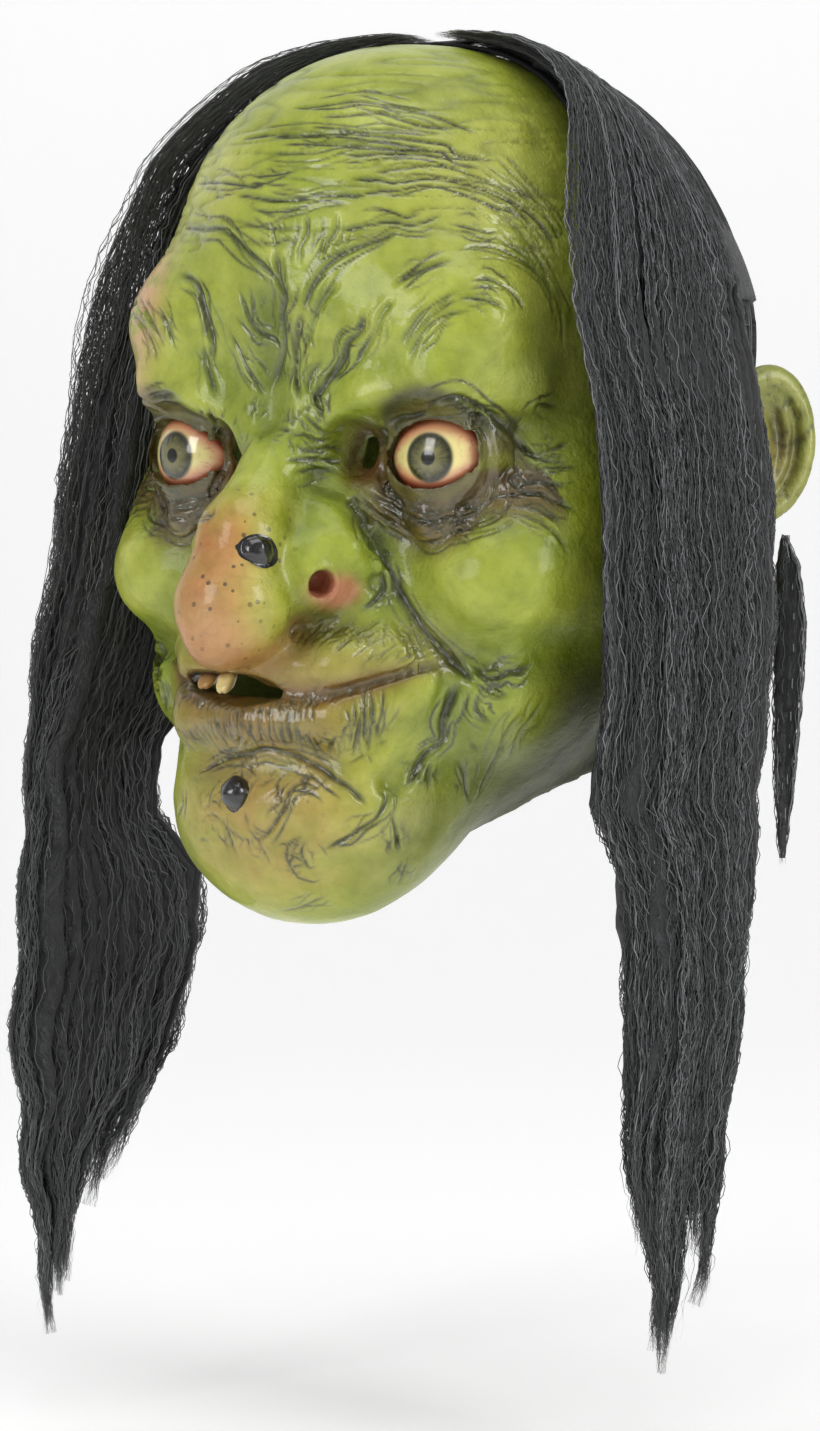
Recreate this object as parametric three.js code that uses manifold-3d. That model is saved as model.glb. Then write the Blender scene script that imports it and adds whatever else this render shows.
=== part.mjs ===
// Full-over-head latex witch mask with crimped hair.
// Millimetres, +Z up, the mask faces -Y, its own left side is +X.
// The origin is the point where the top of the wearer's head meets the foam crown pad.
import * as THREE from 'three';
import { mergeVertices } from 'three/addons/utils/BufferGeometryUtils.js';
import Module from 'manifold-3d';

const wasm = await Module();
wasm.setup();
const { Manifold, Mesh: MMesh } = wasm;

// ---------------------------------------------------------------- driving dimensions
const WALL = 3.0;             // slush-cast latex wall
const GAP = 0.35;             // clearance between pieces that touch
const TRACK = [0.4, 1.7];     // weft band: distance of its two faces from the skin
const HAIR = [2.2, 9.6];      // hair lying on the scalp: distance of its two faces from the skin
const EYE = { x: 47, y: -79, z: -113, r: 18.5, gaze: 10 };  // eye centre (left), ball radius, outward gaze in degrees
const LID = 3.4;              // lid stands this far proud of the eyeball
const VISION = { x: 24.2, z: -111, w: 8, h: 13 };        // sight holes at the inner eye corners
const MOUTH = { x0: -24, x1: 20, z0: -191, z1: -181.5 };    // breathing slot between the lips
const SLIT = { half: 0.8, top: -140 };                      // rear slit
const RIM = [[-64, -300], [-62.5, -253], [-52, -238], [-32, -223], [0, -211], [40, -204], [140, -200], [140, -300]]; // y,z outline below which the latex ends
const HAIRLINE = [[-22, 60], [-22.5, 22], [-26, 9], [-36, -10], [-45, -30], [-49.5, -56]];  // front edge of the scalp hair, y,z
const CROWN_PAD_R = 40;
const HEAD_R = 92;            // wearer's head, radius of the crown

// ---------------------------------------------------------------- sculpted head as blended forms
// ["ell"|"cap", sign, blend, mirrored, ...numbers]
const FORMS = [
  ['ell', 1, 0, 0, 0, -6, -76, 87, 102, 93],          // skull
  ['ell', 1, 24, 0, 0, -46, -46, 66, 63, 62],         // forehead
  ['ell', 1, 20, 0, 0, -34, -125, 80, 66, 80],        // mid face
  ['ell', 1, 24, 0, 0, -40, -180, 70, 58, 52],        // lower face
  ['cap', 1, 14, 0, 0, 10, -140, 0, 14, -262, 68, 62],// nape
  ['cap', 1, 16, 1, 20, -70, -214, 56, -30, -172, 27, 27], // jaw bone
  ['ell', 1, 18, 0, 0, -76, -182, 54, 40, 42],        // muzzle
  ['ell', 1, 18, 0, 0, -90, -223, 47.5, 37, 39],        // chin
  ['ell', 1, 14, 1, 44, -80, -72, 31, 26, 25],        // brow bulge
  ['cap', 1, 8, 1, 13, -101, -104, 32, -99, -96, 8, 9],
  ['cap', 1, 8, 1, 32, -99, -96, 52, -94, -90, 9, 8.5],
  ['cap', 1, 8, 1, 52, -94, -90, 72, -72, -99, 8.5, 6],
  ['cap', 1, 7, 1, 8, -102, -98, 11, -103, -64, 6, 5],// frown fold
  ['ell', 1, 14, 1, 72, -50, -138, 20, 32, 32],       // cheekbone
  ['ell', 1, 10, 1, 60, -73, -151, 27, 25, 22],       // cheek
  ['ell', -1, 7, 1, 46, -106, -112, 24, 15, 14],      // eye socket
  ['ell', -1, 5, 1, 25, -102, -111, 8, 12, 9],
  ['cap', 1, 4, 1, 32, -93, -128, 50, -93, -133, 4.5, 5.5], // eye bag
  ['cap', 1, 4, 1, 50, -93, -133, 66, -80, -126, 5.5, 4],
  ['ell', 1, 10, 1, 60, -64, -188, 19, 24, 22],       // jowl
  ['cap', 1, 9, 0, 0, -98, -100, 0, -108, -116, 12, 10],    // nose
  ['cap', 1, 5, 0, 0, -108, -116, 0, -125, -138, 10, 14],
  ['cap', 1, 4, 0, 0, -125, -138, 0, -130, -156, 14, 17],
  ['ell', 1, 5, 0, 0, -131, -160, 18, 18.5, 17],
  ['ell', 1, 4, 0, 0, -137, -168, 11, 12, 11],
  ['ell', 1, 6, 1, 16, -108, -150, 13, 17, 14],       // nostril wing
  ['cap', 1, 3, 1, 15, -117, -143, 27, -106, -143, 5, 5.5],
  ['cap', 1, 3, 1, 27, -106, -143, 31, -96, -153, 5.5, 5.5],
  ['cap', 1, 3, 1, 31, -96, -153, 23, -103, -165, 5.5, 4.5],
  ['cap', 1, 8, 1, 0, -118, -179, 26, -111, -178, 8, 7],    // upper lip
  ['cap', 1, 8, 1, 26, -111, -178, 53, -86, -170, 7, 4.5],
  ['cap', 1, 6, 1, 0, -118, -196, 26, -112, -195, 9.5, 8.5],// lower lip
  ['cap', 1, 6, 1, 26, -112, -195, 52, -88, -182, 8.5, 5],
  ['cap', -1, 9, 1, 0, -129, -209, 24, -122, -208, 4, 3],   // chin crease
];

const smin = (a, b, k) => {
  if (k <= 0) return Math.min(a, b);
  const h = Math.max(k - Math.abs(a - b), 0) / k;
  return Math.min(a, b) - h * h * k * 0.25;
};
const smax = (a, b, k) => -smin(-a, -b, k);
const ell = (x, y, z, p) => {
  const u = x - p[4], v = y - p[5], w = z - p[6];
  const k0 = Math.hypot(u / p[7], v / p[8], w / p[9]);
  const k1 = Math.hypot(u / p[7] ** 2, v / p[8] ** 2, w / p[9] ** 2);
  return k0 * (k0 - 1) / Math.max(k1, 1e-6);
};
const cap = (x, y, z, p) => {
  const ax = p[7] - p[4], ay = p[8] - p[5], az = p[9] - p[6];
  const px = x - p[4], py = y - p[5], pz = z - p[6];
  const t = Math.min(1, Math.max(0, (px * ax + py * ay + pz * az) / (ax * ax + ay * ay + az * az)));
  return Math.hypot(px - t * ax, py - t * ay, pz - t * az) - (p[10] + t * (p[11] - p[10]));
};
const G = EYE.gaze * Math.PI / 180;
function head(x, y, z) {
  const m = Math.abs(x);
  let d = 0;
  FORMS.forEach((p, i) => {
    const v = (p[0] === 'ell' ? ell : cap)(p[3] ? m : x, y, z, p);
    d = i === 0 ? v : p[1] > 0 ? smin(d, v, p[2]) : smax(d, -v, p[2]);
  });
  const dx = m - EYE.x, dy = y - EYE.y, dz = z - EYE.z;
  const w = dx * Math.sin(G) - dy * Math.cos(G);
  const lid = smax(Math.hypot(dx, dy, dz) - (EYE.r + LID), 2 - w, 3);
  return smin(d, lid, 6);
}

// ---------------------------------------------------------------- grid of rays over the head
const AXIS_Y = -10, TOP_Z = -95;
const COLS = [0, 3, 6, 9, 13, 18, 24, 31, 38, 45, 54, 65, 79, 95, 112, 130, 147, 164, 180];
const THETA = [...COLS, ...COLS.slice(1, -1).reverse().map((a) => -a)];
const DOME = [74, 59, 45, 33, 23, 14, 6, -0.001];
const LOWER = [-102, -109, -116, -123, -131, -140, -149, -158, -166, -173, -178, -184, -190, -197, -206, -217, -229, -242, -252, -260, -264.5, -273];
const rays = [];
DOME.forEach((e) => rays.push({ z: TOP_Z, e: e * Math.PI / 180 }));
LOWER.forEach((z) => rays.push({ z, e: 0 }));
const ray = (row, a) => {
  const c = Math.cos(row.e);
  return { o: [0, AXIS_Y, row.z], d: [Math.sin(a) * c, -Math.cos(a) * c, Math.sin(row.e)] };
};
function hit(o, d, level) {
  const f = (r) => head(o[0] + d[0] * r, o[1] + d[1] * r, o[2] + d[2] * r) - level;
  let r = 175, prev = r;
  for (let i = 0; i < 400; i++) {
    const v = f(r);
    if (v < 0) break;
    prev = r;
    r -= Math.max(v * 0.6, 0.25);
    if (r < 5) return 5;
  }
  let a = r, b = prev;
  for (let i = 0; i < 24; i++) { const m = (a + b) / 2; if (f(m) < 0) a = m; else b = m; }
  return (a + b) / 2;
}
const RO = rays.map((row) => THETA.map((t) => { const q = ray(row, t * Math.PI / 180); return hit(q.o, q.d, 0); }));
const RI = rays.map((row, i) => THETA.map((t, j) => { const q = ray(row, t * Math.PI / 180); return Math.min(hit(q.o, q.d, -WALL), RO[i][j] - WALL); }));
const POLE = { o: [0, AXIS_Y, TOP_Z], d: [0, 0, 1] };
const PO = hit(POLE.o, POLE.d, 0), PI_ = PO - WALL;

// closed solid through the ray lengths plus an offset; the bottom is closed at zEnd
function shell(R, pole, off, zEnd) {
  const n = THETA.length, v = [], t = [];
  v.push(0, AXIS_Y, TOP_Z + pole + off);
  rays.forEach((row, i) => THETA.forEach((a, j) => {
    const q = ray(row, a * Math.PI / 180), r = R[i][j] + off;
    const last = i === rays.length - 1;
    v.push(q.o[0] + q.d[0] * r, q.o[1] + q.d[1] * r, last ? zEnd : q.o[2] + q.d[2] * r);
  }));
  v.push(0, AXIS_Y, zEnd);
  const id = (i, j) => 1 + i * n + ((j + n) % n), end = 1 + rays.length * n;
  for (let j = 0; j < n; j++) {
    t.push(0, id(0, j), id(0, j + 1));
    for (let i = 0; i + 1 < rays.length; i++) {
      const p = id(i, j), q = id(i, j + 1), r = id(i + 1, j + 1), s = id(i + 1, j);
      // the diagonals mirror across the centre plane
      const half = j < n / 2;
      if (half) t.push(p, s, r, p, r, q); else t.push(p, s, q, q, s, r);
    }
    t.push(end, id(rays.length - 1, j + 1), id(rays.length - 1, j));
  }
  const m = solid(v, t);
  return m;
}

// ---------------------------------------------------------------- solids
function solid(v, t) {
  let m = new Manifold(new MMesh({ numProp: 3, vertProperties: Float32Array.from(v), triVerts: Uint32Array.from(t) }));
  if (m.volume() < 0) {
    const f = [];
    for (let i = 0; i < t.length; i += 3) f.push(t[i], t[i + 2], t[i + 1]);
    m = new Manifold(new MMesh({ numProp: 3, vertProperties: Float32Array.from(v), triVerts: Uint32Array.from(f) }));
  }
  return m;
}
function fromGeometry(g) {
  const c = g.clone();
  c.deleteAttribute('normal');
  c.deleteAttribute('uv');
  const w = mergeVertices(c, 1e-4);
  const p = Array.from(w.attributes.position.array), ix = Array.from(w.index.array), t = [];
  for (let i = 0; i < ix.length; i += 3) {
    const [a, b, d] = [ix[i], ix[i + 1], ix[i + 2]];
    if (a !== b && b !== d && a !== d) t.push(a, b, d);
  }
  return solid(p, t);
}
const box = (x0, x1, y0, y1, z0, z1) => {
  const g = new THREE.BoxGeometry(x1 - x0, y1 - y0, z1 - z0);
  g.translate((x0 + x1) / 2, (y0 + y1) / 2, (z0 + z1) / 2);
  return fromGeometry(g);
};
const ball = (x, y, z, rx, ry, rz, nu = 20, nv = 14) => {
  const g = new THREE.SphereGeometry(1, nu, nv);
  g.scale(rx, ry, rz);
  g.rotateX(Math.PI / 2);
  g.scale(1, 1, 1);
  g.translate(x, y, z);
  return fromGeometry(g);
};
// prism along X of a y,z outline
const prismX = (yz, x0, x1) => {
  const g = new THREE.ExtrudeGeometry(new THREE.Shape(yz.map(([y, z]) => new THREE.Vector2(y, z))), { depth: x1 - x0, bevelEnabled: false });
  const p = g.attributes.position;
  for (let i = 0; i < p.count; i++) { const a = p.getX(i), b = p.getY(i), c = p.getZ(i); p.setXYZ(i, x0 + c, a, b); }
  return fromGeometry(g);
};
// prism of a profile in a plane facing `dir` (horizontal), centred at c, from near to far
function prismGaze(shape, c, az, near, far) {
  const g = new THREE.ExtrudeGeometry(shape, { depth: far - near, bevelEnabled: false, curveSegments: 6 });
  const p = g.attributes.position, s = Math.sin(az), k = Math.cos(az);
  for (let i = 0; i < p.count; i++) {
    const u = p.getX(i), v = p.getY(i), w = p.getZ(i) + near;
    p.setXYZ(i, c[0] + k * u + s * w, c[1] + s * u - k * w, c[2] + v);
  }
  return fromGeometry(g);
}
const lathe = (pts, c, az) => {
  const g = new THREE.LatheGeometry(pts.map(([r, w]) => new THREE.Vector2(r, w)), 16);
  const p = g.attributes.position, s = Math.sin(az), k = Math.cos(az);
  for (let i = 0; i < p.count; i++) {
    const u = p.getX(i), w = p.getY(i), v = p.getZ(i);
    p.setXYZ(i, c[0] + k * u + s * w, c[1] + s * u - k * w, c[2] + v);
  }
  return fromGeometry(g);
};
const both = (f) => [f(1), f(-1)];

const outer = shell(RO, PO, 0, -273);
const inner = shell(RI, PI_, 0, -290);
const tighter = (off) => shell(RI, PI_, -off, -290);
const wider = (off) => shell(RO, PO, off, -273);

// ---------------------------------------------------------------- latex skin
const almond = (s) => {
  const q = [];
  for (let i = 0; i <= 10; i++) { const t = -1 + i / 5; q.push([s * (16 * t - 1), 0.5 + 11.5 * Math.max(0, 1 - t * t) ** 0.62]); }
  for (let i = 9; i > 0; i--) { const t = -1 + i / 5; q.push([s * (16 * t - 1), 0.5 - 9 * Math.max(0, 1 - t * t) ** 0.55]); }
  return new THREE.Shape(q.map(([a, b]) => new THREE.Vector2(a, b)));
};
const eyeAt = (s) => [s * EYE.x, EYE.y, EYE.z];
function ear(s) {
  // flaring cup: body less concha, tilted outward and back
  const body = new THREE.SphereGeometry(1, 14, 10);
  body.scale(7.5, 18, 25.5);
  body.rotateX(0.12);
  body.rotateZ(-0.62);
  body.translate(94, 38, -111);
  const cup = new THREE.SphereGeometry(1, 12, 8);
  cup.scale(5.2, 13.5, 20.5);
  cup.rotateX(0.12);
  cup.rotateZ(-0.62);
  cup.translate(98.4, 33.5, -110.5);
  const root = new THREE.SphereGeometry(1, 10, 6);
  root.scale(13, 9, 17);
  root.rotateZ(-0.4);
  root.translate(83, 37, -112);
  let m = fromGeometry(body).add(fromGeometry(root)).subtract(fromGeometry(cup));
  return s > 0 ? m : mirrorX(m);
}
function mirrorX(m) {
  const g = m.getMesh(), v = Array.from(g.vertProperties), t = Array.from(g.triVerts), f = [];
  for (let i = 0; i < v.length; i += 3) v[i] = -v[i];
  for (let i = 0; i < t.length; i += 3) f.push(t[i], t[i + 2], t[i + 1]);
  return solid(v, f);
}
const ears = both(ear);
const neckCut = prismX(RIM, -160, 160);
let skin = outer.add(ears[0]).add(ears[1]).subtract(inner).subtract(neckCut);
for (const s of [1, -1]) {
  const c = eyeAt(s);
  skin = skin.subtract(prismGaze(almond(s), c, s * G, 5, 45));
  skin = skin.subtract(ball(c[0], c[1], c[2], EYE.r + 0.65, EYE.r + 0.65, EYE.r + 0.65, 18, 12));
  const hole = new THREE.CylinderGeometry(1, 1, 60, 10);
  hole.scale(VISION.w / 2, 1, VISION.h / 2);
  hole.translate(s * VISION.x, -88, VISION.z);
  skin = skin.subtract(fromGeometry(hole));
  // nostril recess
  const nos = new THREE.SphereGeometry(1, 10, 8);
  nos.scale(4.4, 8, 5);
  nos.rotateZ(s * 0.5);
  nos.translate(s * 20, -110, -156);
  skin = skin.subtract(fromGeometry(nos));
}
const mouthShape = new THREE.Shape([[-29, -185], [-25, -179.6], [-4, -179.6], [8, -181.5], [20, -184.5], [14, -188.5], [0, -191], [-18, -190.5], [-25, -189]].map(([a, b]) => new THREE.Vector2(a, b)));
skin = skin.subtract(prismGaze(mouthShape, [0, -100, 0], 0, -10, 60));
skin = skin.subtract(box(-SLIT.half, SLIT.half, 30, 140, -290, SLIT.top));

// ---------------------------------------------------------------- scene graph
const root = new THREE.Group();
const COLOUR = {
  latex: [0x8fa63a, 0.35, 0], eye: [0xe9dca0, 0.15, 0], cornea: [0xdfe6d8, 0.04, 0], cloth: [0xcfc6ae, 0.9, 0],
  gum: [0x6a2f28, 0.4, 0], tooth: [0xd8c27a, 0.35, 0], wart: [0x101210, 0.15, 0], foam: [0x3a3a3a, 0.95, 0],
  track: [0x1c1c1e, 0.85, 0], hair: [0x2b2c31, 0.55, 0],
};
function add(name, m, kind) {
  const parts = Array.isArray(m) ? m : [m];
  const v = [], t = [];
  for (const p of parts) {
    const g = p.getMesh(), base = v.length / 3;
    for (const x of g.vertProperties) v.push(x);
    for (const i of g.triVerts) t.push(i + base);
  }
  const geometry = new THREE.BufferGeometry();
  geometry.setAttribute('position', new THREE.BufferAttribute(Float32Array.from(v), 3));
  geometry.setIndex(t);
  geometry.computeVertexNormals();
  const [color, roughness, metalness] = COLOUR[kind];
  const mesh = new THREE.Mesh(geometry, new THREE.MeshStandardMaterial({ color, roughness, metalness }));
  mesh.name = name;
  root.add(mesh);
  return mesh;
}
// the largest connected body of a cut result
const largest = (m) => m.decompose().sort((a, b) => b.volume() - a.volume())[0];

add('latex_skin', largest(skin), 'latex');

// ---------------------------------------------------------------- eyes
const side = (s) => (s > 0 ? 'left' : 'right');
const arc = (r, a0, a1, n) => Array.from({ length: n + 1 }, (_, i) => { const a = (a0 + (a1 - a0) * i / n) * Math.PI / 180; return [r * Math.sin(a), r * Math.cos(a)]; });
for (const s of [1, -1]) {
  const c = eyeAt(s);
  const out = arc(EYE.r, 0, 60, 5), inn = arc(EYE.r - 1.8, 60, 0, 4);
  out[0][0] = 0; inn[4][0] = 0;
  add(`eye_shell_${side(s)}`, lathe([...out, ...inn], c, s * G), 'eye');
  // clear cap, thicker in the middle
  const top = [[0, EYE.r + 2.0], [3, EYE.r + 1.75], [5.6, EYE.r + 0.95], [7.6, EYE.r - 0.35]];
  const bot = arc(EYE.r + 0.35, 24, 0, 4);
  bot[4][0] = 0;
  add(`cornea_${side(s)}`, lathe([...top, ...bot], c, s * G), 'cornea');
  // retaining washer behind the rim
  add(`eye_retainer_${side(s)}`, lathe([[11.5, 5.9], [16.4, 5.9], [16.9, 7.9], [13.2, 7.9], [11.5, 7.4], [11.5, 5.9]], c, s * G), 'cloth');
}

// ---------------------------------------------------------------- mouth
{
  const slack = tighter(GAP);
  const rail = new THREE.ExtrudeGeometry(
    new THREE.Shape([[-3.6, -3.4], [3.2, -3.8], [4, 1.5], [2, 4.2], [-2.6, 4], [-4, 1]].map(([a, b]) => new THREE.Vector2(a, b))),
    { steps: 10, bevelEnabled: false, extrudePath: new THREE.CatmullRomCurve3([[-27, -109.5, -178], [-13, -112.5, -177], [0, -113, -177], [13, -111, -177.5], [22, -106, -178.5]].map((p) => new THREE.Vector3(...p))) });
  add('upper_gum', fromGeometry(rail).intersect(slack).subtract(box(-40, 40, -160, -60, -230, -180.2)), 'gum');
  // two pegs leaning forward out of the slot
  const peg = (x, y, w, len, lean) => {
    const st = [[0, 0.86], [0.3, 1], [0.7, 0.92], [0.92, 0.62], [1, 0.3]], n = 8, v = [], t = [];
    st.forEach(([k, f]) => {
      for (let i = 0; i < n; i++) {
        const a = 2 * Math.PI * (i + 0.5) / n;
        v.push(x + w * f * Math.cos(a) + lean * k, y - 4 * k + 2.5 * f * Math.sin(a), -180.6 - len * k);
      }
    });
    for (let k = 0; k < 4; k++) for (let i = 0; i < n; i++) { const a = k * n + i, b = k * n + (i + 1) % n; t.push(a, b, b + n, a, b + n, a + n); }
    for (let i = 1; i + 1 < n; i++) { t.push(0, i + 1, i); t.push(4 * n, 4 * n + i, 4 * n + i + 1); }
    return solid(v, t);
  };
  add('tooth_left', peg(-13.2, -114.6, 2.9, 6.8, 0.3), 'tooth');
  add('tooth_right', peg(-20, -114.4, 2.9, 5.6, -0.4), 'tooth');
}

// ---------------------------------------------------------------- warts
{
  const clear = wider(GAP);
  add('wart_nose', largest(ball(10.4, -133, -142, 5.6, 5.6, 5.4, 14, 10).subtract(clear)), 'wart');
  add('wart_chin', largest(ball(-3, -125.5, -218, 5.3, 5.3, 5.0, 14, 10).subtract(clear)), 'wart');
}

// ---------------------------------------------------------------- inside: pads and slit patch
{
  const near = tighter(GAP), foam = tighter(9), thin = tighter(1.6);
  const disc = new THREE.CylinderGeometry(CROWN_PAD_R, CROWN_PAD_R, 60, 20);
  disc.rotateX(Math.PI / 2);
  disc.translate(0, 0, 14);
  const wearer = new THREE.SphereGeometry(HEAD_R, 32, 18);
  wearer.rotateX(Math.PI / 2);
  wearer.translate(0, 0, -HEAD_R);
  add('crown_pad', largest(near.intersect(fromGeometry(disc)).subtract(fromGeometry(wearer))), 'foam');
  add('forehead_pad', largest(near.subtract(foam).intersect(box(-42, 42, -140, -52, -66, -34))), 'foam');
  add('slit_patch', largest(near.subtract(thin).intersect(box(-13, 13, 40, 130, -152, -122))), 'cloth');
}

// ---------------------------------------------------------------- hair on the scalp and its weft bands
{
  const lo = wider(HAIR[0]), hi = wider(HAIR[1]);
  const scalp = hi.subtract(lo);
  const line = [...HAIRLINE, [-49.5, -50]];
  const region = (yz) => prismX(yz, -160, 160);
  const front = region([[-22, 60], [-22.5, 22], [-26, 9], [-36, -10], [-45, -30], [-49.5, -50], [120, -50], [120, 60]]);
  const crownZ = -16;
  const L = box(0.3, 170, -200, 200, -300, 100), R = box(-170, -0.3, -200, 200, -300, 100);
  const top = box(-170, 170, -200, 200, crownZ + 0.3, 100), under = box(-170, 170, -200, 200, -50, crownZ - 0.3);
  const fore = box(-170, 170, -200, 19.7, -300, 100), aft = box(-170, 170, 20.3, 200, -300, 100);
  const capHair = scalp.intersect(front);
  for (const [s, half] of [[1, L], [-1, R]]) {
    const h = capHair.intersect(half);
    add(`hair_crown_${side(s)}`, largest(h.intersect(top)), 'hair');
    add(`hair_side_${side(s)}`, largest(h.intersect(under).intersect(fore)), 'hair');
    add(`hair_back_upper_${side(s)}`, largest(h.intersect(under).intersect(aft)), 'hair');
    const nape = scalp.intersect(half).intersect(region([[34, -50.6], [34, -78], [66, -84], [66, -198], [120, -198], [120, -50.6]]));
    add(`hair_back_lower_${side(s)}`, largest(nape), 'hair');
  }
  const band = wider(TRACK[1]).subtract(wider(TRACK[0]));
  for (const [s, half] of [[1, box(3, 170, -200, 200, -300, 100)], [-1, box(-170, -3, -200, 200, -300, 100)]]) {
    const edge = region([[-20, 60], [-20.5, 20], [-24, 8], [-34, -11], [-43, -31], [-46, -40], [-37, -40], [-34, -31], [-25, -11], [-15, 8], [-11, 20], [-11, 60]]);
    add(`weft_track_hairline_${side(s)}`, largest(band.intersect(edge).intersect(half)), 'track');
    add(`weft_track_side_${side(s)}`, largest(band.intersect(half).intersect(region([[-46, -42], [-46, -49], [90, -49], [90, -42]]))), 'track');
  }
  add('weft_track_back_upper', largest(band.intersect(region([[42, -92], [42, -99], [120, -99], [120, -92]]))), 'track');
  add('weft_track_back_lower', largest(band.intersect(region([[60, -128], [60, -135], [120, -135], [120, -128]]))), 'track');
}

// ---------------------------------------------------------------- free-hanging locks
// stations: z, centre x, centre y, half width along the scalp, half thickness outward, twist of the section in degrees
const LOCK_FRONT_LEFT = [
  [-62, 96.5, -28, 47, 7.8, 0], [-93, 100, -30, 49.5, 8.6, 0], [-128, 104, -31.6, 50.8, 9.3, 0], [-163, 104.5, -30.5, 50, 10, 0], [-187, 102.5, -28.5, 48, 11, 0],
  [-222, 98.5, -29, 46.5, 11.5, 0], [-234, 98.5, -23.5, 42, 12, 0], [-246, 97.5, -21, 36.5, 12, 0], [-269, 96.5, -19, 31.5, 12.5, 0], [-293, 96, -20.5, 30.5, 12.5, 0],
  [-316, 95.5, -23, 29.5, 12, 0], [-340, 95, -25, 29.5, 10.5, 0], [-363, 94.5, -23.5, 24.5, 9, 0], [-378, 94, -22.5, 22, 8, 0], [-390, 93.5, -24.5, 15, 6, 0], [-412, 92.5, -28, 3.5, 3, 0],
];
const LOCK_FRONT_RIGHT = [
  [-62, 97, -30.5, 48.5, 7.8, 0], [-95, 100, -34.5, 52, 8.6, 0], [-125, 101.5, -37.5, 53, 9.3, 0], [-160, 104, -43, 53, 10, 0], [-190, 107, -54, 45, 11, 0],
  [-211, 108, -66, 32, 11.5, 0], [-236, 109, -66, 32, 12, 0], [-257, 110, -54, 46, 12.5, 0], [-281, 111, -52.5, 48.4, 12.5, 0], [-304, 111, -60, 43.7, 12.5, 0],
  [-328, 111, -64, 36, 11.5, 0], [-351, 112, -74, 25.5, 9.5, 0], [-363, 112, -76.5, 18, 8, 0], [-378, 111, -80, 12, 6, 0], [-411, 109, -84, 3.5, 3, 0],
];
const LOCK_BACK = [
  [-142, 91, 58, 5.5, 3.5, -35], [-165, 91.5, 58, 6.5, 4, -35], [-195, 91, 57, 6, 3.6, -35], [-225, 90.5, 56, 4.5, 3, -35], [-251, 90, 56, 2, 1.6, -35],
];
function lock(st, s) {
  const n = 12, v = [], t = [];
  const [z0, x0, y0, a0, b0, w0] = st[0];
  const rows = [];
  for (const q of [78, 52, 26]) { const k = q * Math.PI / 180; rows.push([z0 + b0 * Math.sin(k), x0, y0, a0 - b0 * 0.5 * (1 - Math.cos(k)), b0 * Math.cos(k), w0]); }
  rows.push(...st);
  rows.forEach(([z, x, y, a, b, w]) => {
    const k = w * Math.PI / 180;
    for (let i = 0; i < n; i++) {
      const q = 2 * Math.PI * (i + 0.5) / n, c = Math.cos(q), e = Math.sin(q);
      const u = a * Math.sign(c) * Math.abs(c) ** 0.7, o = b * Math.sign(e) * Math.abs(e) ** 0.8;
      v.push(s * (x + o * Math.cos(k) + u * Math.sin(k)), y - o * Math.sin(k) + u * Math.cos(k), z);
    }
  });
  const m = rows.length;
  for (let k = 0; k + 1 < m; k++) for (let i = 0; i < n; i++) { const p = k * n + i, q = k * n + (i + 1) % n; t.push(p, q, q + n, p, q + n, p + n); }
  for (let i = 1; i + 1 < n; i++) { t.push(0, i + 1, i); const e = (m - 1) * n; t.push(e, e + i, e + i + 1); }
  return solid(v, t);
}
add('lock_front_left', lock(LOCK_FRONT_LEFT, 1), 'hair');
add('lock_front_right', lock(LOCK_FRONT_RIGHT, -1), 'hair');
add('lock_back_left', lock(LOCK_BACK, 1), 'hair');
add('lock_back_right', lock(LOCK_BACK, -1), 'hair');

root.name = 'witch_mask';
export default root;
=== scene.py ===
# Looks of the latex witch mask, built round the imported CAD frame.
# Object space is the CAD's: +Z up, the mask faces -Y, its own left is +X. Numbers named *_MM are millimetres.
import bpy, bmesh, math
import numpy as np
from mathutils import Vector, Matrix
from mathutils.kdtree import KDTree
from mathutils.bvhtree import BVHTree


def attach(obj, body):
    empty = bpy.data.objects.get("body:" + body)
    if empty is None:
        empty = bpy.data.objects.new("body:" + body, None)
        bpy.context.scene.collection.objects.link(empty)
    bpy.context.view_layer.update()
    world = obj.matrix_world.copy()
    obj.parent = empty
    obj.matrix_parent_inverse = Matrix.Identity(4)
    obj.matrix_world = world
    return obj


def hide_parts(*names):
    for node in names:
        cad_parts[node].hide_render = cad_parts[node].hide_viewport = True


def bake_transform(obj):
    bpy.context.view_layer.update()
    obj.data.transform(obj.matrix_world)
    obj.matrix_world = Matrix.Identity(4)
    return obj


F = np.float32
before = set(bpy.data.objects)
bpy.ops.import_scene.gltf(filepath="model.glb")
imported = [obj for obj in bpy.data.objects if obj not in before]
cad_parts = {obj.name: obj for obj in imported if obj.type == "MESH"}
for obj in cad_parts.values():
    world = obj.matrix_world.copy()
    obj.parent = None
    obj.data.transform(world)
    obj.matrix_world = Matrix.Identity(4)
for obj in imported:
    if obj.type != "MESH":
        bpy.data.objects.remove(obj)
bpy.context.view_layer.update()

# ------------------------------------------------------------------ sculpted head: blended forms
EYE_C = (47.0, -79.0, -113.0)
EYE_R = 18.5
GAZE = math.radians(10)
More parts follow.
